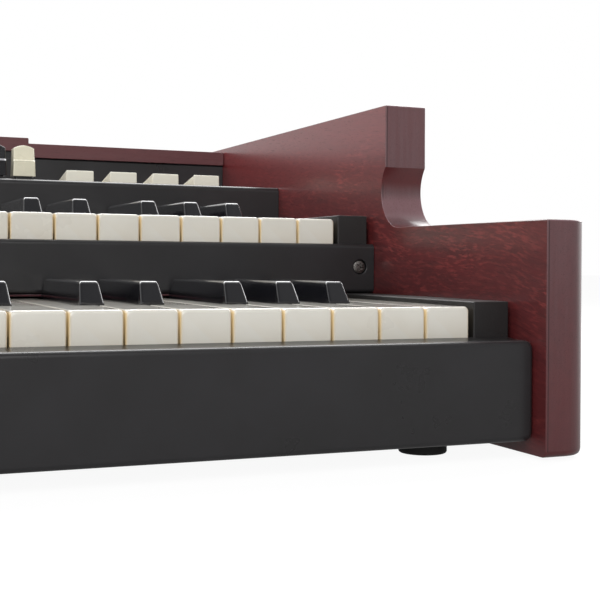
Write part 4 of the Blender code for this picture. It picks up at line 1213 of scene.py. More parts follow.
@dataclass
class Workshop:
    """Turns surfaces into finished pieces that ride on bodies of the frame."""

    effects: Effects
    nodes: dict[str, bpy.types.Object]
    made: dict[str, bpy.types.Material] = field(default_factory=dict)

    def material(self, finish: str) -> bpy.types.Material:
        """Finds the material of a finish, which is built at its first use.

        Args:
            finish: Name of the finish.

        Returns:
            Its material.
        """
        if finish not in self.made:
            self.made[finish] = FINISHES[finish].material(self.effects)
        return self.made[finish]

    def add(
        self, name: str, surface: Surface, finish: str, body: str = CASE, replaces: Sequence[str] = ()
    ) -> None:
        """Makes a piece from a surface.

        Args:
            name: Name of the piece.
            surface: Its shape, in place.
            finish: Name of its finish.
            body: Body that it rides on.
            replaces: Nodes of the frame that it stands for.
        """
        mesh = bpy.data.meshes.new(name)
        faces = surface.quads.tolist() + [cap.tolist() for cap in surface.caps]
        mesh.from_pydata(surface.points, [], faces)
        if surface.shade is not None:
            mesh.attributes.new("shade", "FLOAT", "POINT").data.foreach_set("value", surface.shade)
        mesh.shade_smooth()
        mesh.set_sharp_from_angle(angle=SMOOTH_ANGLE)
        piece = bpy.data.objects.new(name, mesh)
        bpy.context.scene.collection.objects.link(piece)
        mesh.materials.append(self.material(finish))
        flat = piece.modifiers.new("flat faces stay flat", "WEIGHTED_NORMAL")
        flat.keep_sharp = True
        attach(piece, body)
        if replaces:
            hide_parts(*replaces)
        LOG.info("%s: %d faces on %s", name, len(mesh.polygons), body)

    def dress(self, name: str, finish: str) -> None:
        """Gives a node of the frame its finish.

        Args:
            name: Name of the node.
            finish: Name of the finish.
        """
        node = self.nodes[name]
        node.data.materials.clear()
        node.data.materials.append(self.material(finish))
        LOG.info("%s: dressed", name)


def box_of(node: str) -> tuple[np.ndarray, np.ndarray]:
    """Lowest and highest corner of a node of the frame."""
    low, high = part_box(node)
    return np.array(low), np.array(high)


# Sub-assemblies
@dataclass
class WoodenCase:
    """Cheeks, lid and feet."""

    edge: float = 0.0006
    cove_edge_share: float = 0.3
    cove_margin: float = 1.02
    top_edge: float = 0.0008
    foot_edge: float = 0.0035
    front_corner: float = 0.0147
    arm_height: float = 0.1092
    arm_length: float = 0.1446
    cove_radius: float = 0.0217
    cove_sweep: float = math.radians(130)
    front_reach: float = 0.045
    seam: float = 0.0011
    seam_half: float = 0.0004
    lid_centre_half: float = 0.291
    lid_centre_rise: float = 0.0042
    lid_centre_lift: float = 0.0036
    lid_lip: float = 0.0009
    lid_lip_wall: float = 0.0015
    lid_edge: float = 0.0009
    lid_inner_edge: float = 0.0004
    lid_end_share: float = 0.28
    backing_end_gap: float = 0.001
    backing_depths: Limits = (0.0022, 0.0040)
    backing_drop: float = 0.002
    backing_edge: float = 0.0003
    rubber_edge: float = 0.0012
    dish_pole: float = 0.0005
    dish_depth: float = 0.0012
    dish_rim_depth: float = 0.001
    dish_shares: Limits = (0.45, 0.6)
    rubber_top_share: float = 0.985

    def cheek(self, side: str) -> Surface:
        """Side outline carried from the inner face to the outer one.

        Each ring is drawn in by the rounding of the two faces' edges, less so along the cove, and its front
        part is moved back by the rounding of the outer front corner. The shade marks the seam of the facing
        beside the inner face.

        Args:
            side: Left or right.

        Returns:
            The closed surface.
        """
        low, high = box_of(f"cheek_{side}")
        arm_top = low[2] + self.arm_height
        centre = np.array([low[1] + self.arm_length, arm_top + self.cove_radius])
        turn = np.linspace(0, self.cove_sweep, 25) - QUARTER_TURN
        cove = centre + self.cove_radius * np.stack([np.cos(turn), np.sin(turn)], axis=1)
        outline = filleted(
            [
                (low[1], low[2], self.foot_edge),
                (high[1], low[2], self.foot_edge),
                (high[1], high[2], self.top_edge),
                (cove[-1][0], high[2], self.top_edge),
                *((y, z, 0.0) for y, z in cove[::-1]),
                (low[1], arm_top, self.top_edge),
            ],
            closed=True,
        )
        thickness = high[0] - low[0]
        fine = edge_steps(self.edge, 4)
        corner = edge_steps(self.front_corner, 12)
        seam = self.seam + self.seam_half * np.array([-1, 0, 1])
        depth = np.concatenate([fine, seam, thickness - fine, thickness - corner])
        depth = np.unique(np.round(depth, PLACE_DIGITS))
        inset = rounding(np.minimum(depth, thickness - depth), self.edge)
        start = low[0] if side == "right" else high[0]
        rings = stacked(outline, start + SIDES[side] * depth, inset, Axis.X)
        in_cove = np.hypot(*(outline - centre).T) < self.cove_radius * self.cove_margin
        kept = np.where(in_cove, self.cove_edge_share, 1.0)[:, None]
        rings[..., 1:] = outline + kept * (rings[..., 1:] - outline)
        reach = self.front_reach - self.edge * 4
        share = np.clip((low[1] + self.front_reach - rings[..., 1]) / reach, 0, 1)
        rings[..., 1] += share * rounding(thickness - depth, self.front_corner)[:, None]
        line = np.clip(1 - np.abs(depth - self.seam) / self.seam_half, 0, 1)
        return tube(rings, np.broadcast_to(line[:, None], rings.shape[:2]))

    def lid(self) -> Surface:
        """Front outline with its raised middle, carried from front to back.

        The lower side of its two ends hangs lower in the first rings, as a lip before the shelf's rear wall.

        Returns:
            The closed surface.
        """
        low, high = box_of("top_lid")
        shelf = high[2] - self.lid_centre_rise
        under = low[2] + self.lid_centre_lift
        half, step = high[0], self.lid_centre_half
        small, inner = self.lid_edge, self.lid_inner_edge
        right = [
            (step, under, inner), (step, low[2], small), (half, low[2], small),
            (half, shelf, small), (step, shelf, inner), (step, high[2], small),
        ]
        corners = [*right, *((-x, z, radius) for x, z, radius in right[::-1])]
        outline = filleted(corners, closed=True, steps=4)
        fine = edge_steps(self.edge, 4)
        lip = np.full(2, self.lid_lip_wall)
        depth = np.concatenate([low[1] + fine, low[1] + lip, high[1] - fine[::-1]])
        within = np.concatenate([fine, np.full(2, self.edge), fine[::-1]])
        rings = stacked(outline, depth, self.lid_end_share * rounding(within, self.edge), Axis.Y)
        rings[: len(fine) + 1, :, 2] -= self.lid_lip * (outline[:, 1] < low[2] + small / 2)
        return tube(rings)

    def foot(self, name: str) -> Surface:
        """Turned rubber foot with a round lower edge and a shallow dish underneath.

        Args:
            name: Its node.

        Returns:
            The closed surface.
        """
        low, high = box_of(name)
        radius = (high[0] - low[0]) / 2
        middle = (low + high) / 2
        inner, outer = (radius * share for share in self.dish_shares)
        dish = [(self.dish_pole, self.dish_depth), (inner, self.dish_rim_depth), (outer, 0.0)]
        fine = edge_steps(self.rubber_edge, 4)[::-1]
        bead = np.stack([radius - fine, rounding(fine, self.rubber_edge)], axis=1)
        top = [(radius * self.rubber_top_share, high[2] - low[2])]
        profile = np.concatenate([dish, bead, top])
        return tube(turned_rings(profile, (middle[0], middle[1], low[2])))

    def backing(self) -> Surface:
        """Strip behind the gap under the lid's raised middle.

        Returns:
            The closed surface.
        """
        low, _ = box_of("top_lid")
        half = self.lid_centre_half - self.backing_end_gap
        near, far = low[1] + np.array(self.backing_depths)
        top = low[2] + self.lid_centre_lift - SEAT_GAP
        bottom = low[2] - self.backing_drop
        return rounded_box((-half, near, bottom), (half, far, top), self.backing_edge)

    def build(self, workshop: Workshop) -> None:
        """Makes the boards and feet.

        Args:
            workshop: Maker of the pieces.
        """
        for side in SIDES:
            workshop.add(f"cheek_{side}_board", self.cheek(side), "cheek", replaces=[f"cheek_{side}"])
        workshop.add("top_lid_board", self.lid(), "lid", replaces=["top_lid"])
        workshop.add("lid_backing_strip", self.backing(), "powder")
        for side in SIDES:
            for end in ("front", "rear"):
                node = f"foot_{end}_{side}"
                workshop.add(f"{node}_rubber", self.foot(node), "rubber", replaces=[node])


@dataclass
class Panels:
    """Folded steel panels, their screws, and the blocks at the ends of the keyboards."""

    sheet: float = 0.002
    bend: float = 0.0026
    end_bend: float = 0.0026
    tray_corner: float = 0.004
    flange: float = 0.014
    ramp: float = 0.008
    rise: float = 0.0007
    rise_zone: float = 0.005
    rise_whole: float = 0.2
    felt_lift: float = 0.0009
    felt_edge: float = 0.0003
    block_edge: float = 0.0007
    upper_flange: float = 0.0049
    recess_radius: float = 0.0043
    recess_depth: float = 0.002
    recess_lip: float = 0.0004
    lip_turn: float = 1.5
    recess_bore: float = 0.0018
    recess_floor: float = 0.0002
    cup_half: float = 0.0065
    cross_half: float = 0.00055
    cross_reach: float = 0.0021
    cross_wall: float = 0.00018
    cross_depth: float = 0.0009
    cross_turn: float = 0.5
    head_rear: float = 0.0013
    head_front: float = 0.0006
    head_dome: float = 0.0005
    head_shares: Limits = (0.97, 0.02)
    control_depth: float = 0.1229
    control_bend: float = 0.0034
    slot_half: float = 0.0019
    slot_clearance: float = 0.0006
    blade_setback: float = 0.0015
    blade_depth: float = 0.009
    travel: float = 0.028
    tab_clearance: float = 0.0008
    tab_end_clearance: float = 0.0018
    shaft_half: float = 0.0034
    inlet_rim: float = 0.004
    jack_rim: float = 0.003
    rim_gap: float = 0.0004

    def front_rail(self) -> Surface:
        """Tray: a rounded rectangle whose four sides bend back, the lower one less far than the others.

        The rings go from the face round the bends to the rear edge, step in by the wall and come back. The
        top side rises a little towards its rear edge.

        Returns:
            The closed surface.
        """
        low, high = box_of("front_rail")
        size, middle = high - low, (low + high) / 2
        sides = ((low[0], low[2]), (high[0], low[2]), (high[0], high[2]), (low[0], high[2]))
        outline = filleted([(x, z, self.tray_corner) for x, z in sides], closed=True, steps=6)
        bends = edge_steps(self.end_bend, 10)
        within = edge_steps(self.end_bend - self.sheet, 5)[::-1]
        foot = size[1] - self.ramp
        along = np.concatenate([bends, [foot, size[1], size[1], foot], self.sheet + within])
        wall = np.concatenate([np.zeros(len(bends) + 2), np.full(len(within) + 2, self.sheet)])
        rings = np.empty((len(along), len(outline), 3))
        rings[..., 1] = (low[1] + along)[:, None]
        for index, column, bend in ((0, 0, self.end_bend), (2, 1, self.bend)):
            inset = wall + rounding(along - wall, bend - wall.max() * (wall > 0))
            share = 1 - 2 * inset / size[index]
            rings[..., index] = middle[index] + (outline[:, column] - middle[index]) * share[:, None]
        near_top = np.clip((rings[..., 2] - high[2]) / self.rise_zone + 1 + self.rise_whole, 0, 1)
        rings[..., 2] += self.rise * near_top * np.clip((along - foot) / self.ramp, 0, 1)[:, None]
        lower = rings[..., 2] < low[2] + self.flange / 2
        limit = low[1] + self.flange
        rings[..., 1] = np.where(lower, np.minimum(rings[..., 1], limit), rings[..., 1])
        return tube(rings)

    def upper_front(self) -> Surface:
        """Folded panel over the lower keys with a square window behind each screw's cup.

        Returns:
            The closed surface.
        """
        low, high = box_of("upper_front_panel")
        bottom = low[2] + self.felt_lift
        half = self.cup_half
        screws = (self.screw_place(side) for side in SIDES)
        windows = [Window((x - half, x + half), (z - half, z + half)) for x, z in screws]
        corners = [
            (low[1] + self.flange, bottom, 0), (low[1], bottom, self.bend),
            (low[1], high[2], self.bend), (low[1] + self.upper_flange, high[2], 0),
        ]
        return FoldedSheet(corners, (low[0], high[0]), self.sheet, windows, face=low[1]).surface()

    @staticmethod
    def screw_place(side: str) -> Limits:
        """Finds the middle of a screw of the upper front panel.

        Args:
            side: Left or right.

        Returns:
            Its X and Z.
        """
        low, high = box_of(f"panel_screw_{side}")
        middle = (low + high) / 2
        return float(middle[0]), float(middle[2])

    def cup(self, side: str) -> Surface:
        """Square patch of the panel with a round dished recess in its middle.

        The rings go from the square to a circle by stretching each direction until it meets the square, then
        down the round wall to the bottom and back behind.

        Args:
            side: Left or right.

        Returns:
            The closed surface.
        """
        x, z = self.screw_place(side)
        face = box_of("upper_front_panel")[0][1]
        turn = np.linspace(0, FULL_TURN, 64, endpoint=False) + math.pi / 4
        square = self.cup_half / np.maximum(np.abs(np.cos(turn)), np.abs(np.sin(turn)))
        lip, round_lip = self.recess_lip, np.linspace(0, self.lip_turn, 4)
        bore = self.recess_bore
        radius = [*(self.recess_radius + lip - lip * np.sin(round_lip)), self.recess_radius, bore, bore]
        depth = [0, *(lip * (1 - np.cos(round_lip))), *np.full(2, self.recess_depth)]
        depth = np.array([self.sheet, *depth, self.recess_depth + self.recess_floor])
        radius = np.concatenate([[square, square], np.repeat(np.array(radius)[:, None], len(turn), axis=1)])
        behind = np.broadcast_to(face + depth[:, None], radius.shape)
        return tube(np.stack([x + radius * np.cos(turn), behind, z + radius * np.sin(turn)], axis=-1))

    def screw(self, side: str) -> Surface:
        """Pan head with a cross recess.

        Its height is a shallow dome less a depth where a point lies within half an arm's width of either
        arm of the cross, with smooth walls.

        Args:
            side: Left or right.

        Returns:
            The closed surface.
        """
        low, high = box_of(f"panel_screw_{side}")
        x, z = self.screw_place(side)
        radius = (high[0] - low[0]) / 2
        turn = np.linspace(0, FULL_TURN, 72, endpoint=False)
        outer, inner = (radius * share for share in self.head_shares)
        spread = np.concatenate([[radius, radius], np.linspace(outer, inner, 30)])[:, None]
        u = np.abs(spread * np.cos(turn + self.cross_turn))
        v = np.abs(spread * np.sin(turn + self.cross_turn))
        arm, reach = self.cross_half, self.cross_reach
        across = np.minimum(np.maximum(u - arm, v - reach), np.maximum(v - arm, u - reach))
        sunk = self.cross_depth * np.clip(0.5 - across / self.cross_wall, 0, 1)
        depth = self.head_dome * (spread / radius) ** 2 + sunk
        depth[0], depth[1] = self.head_rear, self.head_front
        rings = np.stack([x + spread * np.cos(turn), low[1] + depth, z + spread * np.sin(turn)], axis=-1)
        return tube(rings)

    def control(self) -> Surface:
        """Control panel: face, shelf with slots and windows, and rear wall with its flange.

        Returns:
            The closed surface.
        """
        low, high = box_of("control_panel")
        shelf = box_of("drawbar_channel")[1][2] + SEAT_GAP + self.sheet
        blade_front = float(box_of(SINGLE_DRAWBARS[0])[0][1]) + self.blade_setback
        blade_back = blade_front + self.blade_depth + self.travel
        slot = (blade_front - self.slot_clearance, blade_back + self.slot_clearance)
        windows = [Window((x - self.slot_half, x + self.slot_half), slot) for x in drawbar_places()]
        margins = np.array([self.tab_clearance, self.tab_end_clearance])
        for node in ROCKER_TABS:
            (left, near), (right, far) = (b[:2] + m for b, m in zip(box_of(node), (-margins, margins)))
            windows.append(Window((left, right), (near, far)))
        for node in ROTARY_KNOBS:
            x, y = (box_of(node)[0][:2] + box_of(node)[1][:2]) / 2
            half = self.shaft_half
            windows.append(Window((x - half, x + half), (y - half, y + half)))
        wall = low[1] + self.control_depth
        corners = [
            (low[1] + self.flange, low[2], 0), (low[1], low[2], self.bend),
            (low[1], shelf, self.control_bend), (wall, shelf, self.bend - self.sheet),
            (wall, high[2], self.bend), (wall + self.flange, high[2], 0),
        ]
        return FoldedSheet(corners, (low[0], high[0]), self.sheet, windows, level=shelf).surface()

    def back(self) -> Surface:
        """Back panel with windows for its fittings.

        Returns:
            The closed surface.
        """
        low, high = box_of("back_panel")
        windows = []
        for node, rim in (("power_inlet", self.inlet_rim), ("jack_panel", self.jack_rim)):
            fit_low, fit_high = box_of(node)
            fit_low, fit_high = fit_low + (rim - self.rim_gap), fit_high - (rim - self.rim_gap)
            windows.append(Window((fit_low[0], fit_high[0]), (fit_low[2], fit_high[2])))
        corners = [
            (high[1] - self.flange, high[2], 0), (high[1], high[2], self.bend),
            (high[1], low[2], self.bend), (high[1] - self.flange, low[2], 0),
        ]
        return FoldedSheet(corners, (low[0], high[0]), self.sheet, windows, face=high[1]).surface()

    def build(self, workshop: Workshop) -> None:
        """Makes and dresses the pieces.

        Args:
            workshop: Maker of the pieces.
        """
        workshop.add("front_rail_tray", self.front_rail(), "powder", replaces=["front_rail"])
        workshop.add("upper_front_sheet", self.upper_front(), "powder", replaces=["upper_front_panel"])
        workshop.add("control_sheet", self.control(), "powder", replaces=["control_panel"])
        workshop.add("back_sheet", self.back(), "powder", replaces=["back_panel"])
        workshop.dress("bottom_pan", "powder")
        for side in SIDES:
            screw = f"panel_screw_{side}"
            workshop.add(f"screw_cup_{side}", self.cup(side), "powder")
            workshop.add(f"cross_screw_{side}", self.screw(side), "screw", replaces=[screw])
            for manual in MANUALS:
                node = f"{manual}_end_block_{side}"
                block = rounded_box(*box_of(node), self.block_edge)
                workshop.add(f"{node}_moulding", block, "block", replaces=[node])
        lift = (0, 0, self.felt_lift)
        strip = rounded_box(*(corner + lift for corner in box_of("lower_key_felt")), self.felt_edge)
        workshop.add("lower_felt_strip", strip, "felt", replaces=["lower_key_felt"])
        workshop.dress("upper_key_felt", "felt")


@dataclass
class Manual:
    """Keys of one manual and the keybed under them."""

    name: str
    gap: float = 0.0009
    body: float = 0.012
    lip_wall: float = 0.004
    lip_edge: float = 0.0006
    nose: float = 0.0016
    side_edge: float = 0.0009
    tail_edge: float = 0.0005
    corner_end: float = 0.004
    corner_radii: Triple = (0.0020, 0.0018, 0.0011)
    # Painted shade: width of the tan at the sides of the front and where it starts under the top; then the
    # strength, walls, reach and fall of the painted glow in the gaps.
    glow: float = 0.0012
    painted_edge_start: float = 0.002
    painted_gap_light: float = 0.9
    gap_wall: float = 0.0003
    painted_glow_reach: float = 0.006
    painted_glow_fall: float = 0.016
    sharp_setback: float = 0.0507
    sharp_width: float = 0.0115
    sharp_top_width: float = 0.0087
    sharp_height: float = 0.0109
    sharp_slope: float = 0.0067
    sharp_edge: float = 0.0015
    sharp_nose: float = 0.0012
    sharp_nose_bend: float = 0.0003
    sharp_brow: float = 0.003
    sharp_heel: float = 0.008
    sharp_sink: float = 0.001
    sharp_clearance: float = 0.0009
    sharp_shown: float = 0.0949

    def __post_init__(self) -> None:
        """Reads the manual's place from its top key."""
        low, high = box_of(f"{self.name}_key_c")
        self.front, self.tail = float(low[1]), float(high[1])
        self.lip, self.top = float(low[2]), float(high[2])
        self.sharp_tail = float(box_of(f"{self.name}_key_a_sharp")[1][1])

    @staticmethod
    def has_sharp(index: int) -> bool:
        """Whether a sharp stands on the right of a natural."""
        ends_group = index % OCTAVE_NATURALS in (LOW_GROUP - 1, OCTAVE_NATURALS - 1)
        return 0 <= index < NATURALS - 1 and not ends_group

    @staticmethod
    def sharp_x(index: int) -> float:
        """Finds the centre of the sharp on the right of a natural: tails of one group have one width.

        Args:
            index: Number of the natural, from the left.

        Returns:
            X of the centre.
        """
        note = index % OCTAVE_NATURALS
        first, count = (0, LOW_GROUP) if note < LOW_GROUP else (LOW_GROUP, OCTAVE_NATURALS - LOW_GROUP)
        edge = note - first + 1
        tail = count * KEY_PITCH / (2 * count - 1)
        return (index + 1 - edge) * KEY_PITCH - KEYBOARD_HALF + 2 * edge * tail - tail / 2

    def natural(self, index: int) -> Surface:
        """Waterfall key: rounded sections from the front face to the tail.

        The section's top and sides draw in near the front as quarter circles do. Its lower limit steps up
        behind the lip, and its sides step in beside each neighbouring sharp. The painted shade is 1 at the
        sides of the front, and more on the walls of the gap, where a painted glow stands for light coming
        through the plastic from above.

        Args:
            index: Number of the natural, from the left.

        Returns:
            The closed surface.
        """
        x = (index + 0.5) * KEY_PITCH - KEYBOARD_HALF
        half = (KEY_PITCH - self.gap) / 2
        notch = self.sharp_width / 2 + self.sharp_clearance
        left_in = self.sharp_x(index - 1) + notch if self.has_sharp(index - 1) else x - half
        right_in = self.sharp_x(index) - notch if self.has_sharp(index) else x + half
        nose = edge_steps(self.nose, 6)
        notch_at = self.sharp_setback - self.sharp_clearance
        tail = self.tail - self.front
        end = edge_steps(self.tail_edge, 2)
        steps = [self.lip_wall, self.lip_wall, notch_at, notch_at]
        depth = np.concatenate([nose, steps, tail - end[::-1]])
        behind = np.arange(len(depth)) > len(nose)
        narrow = np.arange(len(depth)) > len(nose) + 2
        side = rounding(depth, self.side_edge) + rounding(tail - depth, self.tail_edge)
        left = np.where(narrow, left_in, x - half) + side
        right = np.where(narrow, right_in, x + half) - side
        low = np.where(behind, self.top - self.body, self.lip + rounding(depth, self.lip_edge))
        high = self.top - rounding(depth, self.nose)
        radius = np.interp(depth, [0, self.nose, self.corner_end], self.corner_radii)
        rings = sections(self.front + depth, (left, right, low, high), radius, steps=4)
        inside = np.minimum(rings[..., 0] - (x - half), (x + half) - rings[..., 0])
        under = self.top - rings[..., 2]
        # Painted shade: tan at the sides of the front, from a little under the top down.
        shade = np.clip(1 - inside / self.glow, 0, 1) * np.clip(under / self.painted_edge_start, 0, 1)
        # Painted glow on the walls of the gap near the front, fading towards the bottom, for light through
        # the plastic.
        wall = (inside < self.gap_wall) & (depth < self.painted_glow_reach)[:, None]
        fall = np.clip(1 - under / self.painted_glow_fall, 0, 1) ** 2
        return tube(rings, shade + wall * self.painted_gap_light * fall)

    def sharp(self, index: int) -> Surface:
        """Raised key: a side profile of nose, slope and flat top, with sections that narrow upwards.

        Args:
            index: Number of the natural on its left.

        Returns:
            The closed surface.
        """
        base = self.top
        front = self.front + self.sharp_setback
        top = base + self.sharp_height
        sunk = base - self.sharp_sink
        corners = [
            (0.0, base, 0), (0.0, base + self.sharp_nose, self.sharp_nose_bend),
            (self.sharp_slope, top, self.sharp_brow), (self.sharp_shown, top, self.sharp_heel),
            (self.sharp_shown, sunk, 0),
        ]
        profile = filleted(corners, closed=False)[1:]
        along = np.concatenate([profile[:, 0], [self.sharp_tail - front]])
        high = np.concatenate([profile[:, 1], [sunk]])
        half = self.sharp_width / 2
        spans = (-half, half, self.top - self.body, high)
        rings = sections(front + along, spans, self.sharp_edge, steps=5)
        narrowing = (self.sharp_width - self.sharp_top_width) / 2 / self.sharp_height / half
        rings[..., 0] *= 1 - narrowing * np.clip(rings[..., 2] - base, 0, None)
        rings[..., 0] += self.sharp_x(index)
        return tube(rings)

    def build(self, workshop: Workshop) -> None:
        """Makes the banks and the single keys, and dresses the keybed.

        Args:
            workshop: Maker of the pieces.
        """
        first = NATURALS - SINGLE_NATURALS
        bank = f"{self.name}_naturals"
        keys = joined([self.natural(i) for i in range(first)])
        workshop.add(f"{bank}_keys", keys, "ivory", bank, [bank])
        bank = f"{self.name}_sharps"
        keys = joined([self.sharp(i) for i in range(first - 1) if self.has_sharp(i)])
        workshop.add(f"{bank}_keys", keys, "ebony", bank, [bank])
        for offset, note in enumerate(("a", "b", "c")):
            node = f"{self.name}_key_{note}"
            workshop.add(f"{node}_top", self.natural(first + offset), "ivory", node, [node])
        for offset, note in enumerate(("g_sharp", "a_sharp")):
            node = f"{self.name}_key_{note}"
            workshop.add(f"{node}_top", self.sharp(first - 1 + offset), "ebony", node, [node])
        workshop.dress(f"{self.name}_keybed", "steel")


class KnobColour(Enum):
    """Colours of drawbar knobs, each with its finish."""

    BROWN = "brown"
    IVORY = "cream"
    EBONY = "ebony"


SET_COLOURS = (
    KnobColour.BROWN, KnobColour.BROWN, KnobColour.IVORY, KnobColour.IVORY, KnobColour.EBONY,
    KnobColour.IVORY, KnobColour.EBONY, KnobColour.EBONY, KnobColour.IVORY,
)
SET_SIZES = {"drawbars_left": 9, "drawbars_pedal": 2}
DRAWBAR_PITCH = 0.019


def set_places(node: str) -> np.ndarray:
    """Finds the centres of a joined set's drawbars, spread evenly about the middle of its node.

    Args:
        node: Node of the set.

    Returns:
        X of each centre.
    """
    low, high = box_of(node)
    count = SET_SIZES[node]
    return (low[0] + high[0]) / 2 + DRAWBAR_PITCH * (np.arange(count) - (count - 1) / 2)


def drawbar_places() -> list[float]:
    """Centres of every drawbar of the shelf."""
    single = [float(sum(corner[0] for corner in box_of(node)) / 2) for node in SINGLE_DRAWBARS]
    return [*(place for node in SET_SIZES for place in set_places(node)), *single]


@dataclass
class Drawbars:
    """Knobs, collars and blades of the drawbars."""

    width: float = 0.0151
    top_width: float = 0.0138
    height: float = 0.021
    depth: float = 0.012
    lift: float = 0.0028
    crease: float = 0.0114
    ledge: float = 0.0018
    ledge_height: float = 0.0012
    ledge_levels: tuple[float, ...] = (1.3, 1, 0.5, 0, -0.2)
    # Where the painted highlight on the ledge lies about the crease, and its strength.
    ledge_zone: Limits = (1.1, 0.1)
    painted_ledge_highlight: float = 2.0
    dome: float = 0.0022
    pole: float = 0.0012
    lean: float = math.tan(math.radians(6))
    # Painted shade on the sides, stronger towards the foot.
    side_shade: float = 1.2
    side_margin: float = 0.0001
    foot_edge: float = 0.0004
    top_edge: float = 0.0008
    edge: float = 0.0011
    collar: float = 0.0105
    collar_depth: float = 0.009
    collar_edge: float = 0.0004
    blade: float = 0.003

    def __post_init__(self) -> None:
        """Reads the place of the knobs and the shelf from the frame."""
        low, high = box_of(SINGLE_DRAWBARS[0])
        self.front = float(low[1])
        self.shelf = float(high[2]) - self.lift - self.height
        self.blade_low = float(low[2])

    def knob(self, x: float) -> Surface:
        """Knob from sections along Z.

        Half its width falls evenly to the shoulder and then follows the dome's circle. Its front stands
        upright to the crease, turns in over a small sloping ledge and leans back above it. The painted shade
        darkens the sides, which its neighbours keep in shadow, and is 2 on the ledge, where the painted glow
        draws a painted highlight line.

        Args:
            x: Place of its middle.

        Returns:
            The closed surface.
        """
        shoulder = self.height - self.dome
        top_half = self.top_width / 2
        radius = (top_half**2 + self.dome**2) / (2 * self.dome)
        last = math.sqrt(radius**2 - self.pole**2) - (radius - self.height)
        dome = shoulder + (last - shoulder) * np.sin(np.linspace(0, QUARTER_TURN, 12))
        ledge = self.crease - self.ledge_height * np.array(self.ledge_levels)
        level = np.concatenate([edge_steps(self.foot_edge, 3), ledge, dome])
        taper = self.width / 2 + (top_half - self.width / 2) * level / shoulder
        circle = np.sqrt(np.clip(radius**2 - (level - (self.height - radius)) ** 2, 0, None))
        foot = rounding(level, self.foot_edge)
        half = np.where(level >= shoulder, np.minimum(circle, top_half), taper) - foot
        over = rounding(self.height - level, self.top_edge)
        step = self.ledge * np.clip(1 - (self.crease - level) / self.ledge_height, 0, 1)
        front = self.front + self.lean * np.clip(level - self.crease, 0, None) + over + step + foot
        back = self.front + self.depth - over - foot
        places = self.shelf + self.lift + level
        rings = sections(places, (x - half, x + half, front, back), self.edge, Axis.Z, steps=4)
        # Painted shade on the sides, stronger towards the foot.
        beside = np.abs(rings[..., 0] - x) > (half - self.side_margin)[:, None]
        shade = beside * np.clip(self.side_shade - level / self.height, 0, 1)[:, None]
        # Painted highlight on the front of the ledge.
        under, above = (share * self.ledge_height for share in self.ledge_zone)
        on_ledge = (level > self.crease - under) & (level < self.crease + above)
        before = rings[..., 1] < self.front + self.ledge + self.side_margin
        return tube(rings, np.where(on_ledge[:, None] & before, self.painted_ledge_highlight, shade))

    def stem(self, x: float) -> Surface:
        """Collar over the shelf with the blade under it, from sections along Z that step at the shelf.

        Args:
            x: Place of its middle.

        Returns:
            The closed surface.
        """
        start = self.front + (self.depth - self.collar_depth) / 2
        foot = self.shelf + SEAT_GAP
        level = np.array([self.blade_low, foot, foot, self.shelf + self.lift + self.crease / 2])
        half = np.array([self.blade, self.blade, self.collar, self.collar]) / 2
        spans = (x - half, x + half, start, start + self.collar_depth)
        return tube(sections(level, spans, self.collar_edge, Axis.Z, steps=2))

    def build(self, workshop: Workshop) -> None:
        """Makes the knobs and stems of each set, and dresses the channel.

        Args:
            workshop: Maker of the pieces.
        """
        for node, colour in zip(SINGLE_DRAWBARS, SET_COLOURS):
            low, high = box_of(node)
            x = float(low[0] + high[0]) / 2
            workshop.add(f"{node}_knob", self.knob(x), colour.value, node, [node])
            workshop.add(f"{node}_stem", self.stem(x), "moulded", node)
        for node in SET_SIZES:
            places = set_places(node)
            replaced = [node]
            for colour in KnobColour:
                knobs = [self.knob(x) for x, own in zip(places, SET_COLOURS) if own is colour]
                if knobs:
                    name = f"{node}_{colour.name.lower()}_knobs"
                    workshop.add(name, joined(knobs), colour.value, node, replaced)
                    replaced = []
            workshop.add(f"{node}_stems", joined([self.stem(x) for x in places]), "moulded", node)
        workshop.dress("drawbar_channel", "steel")


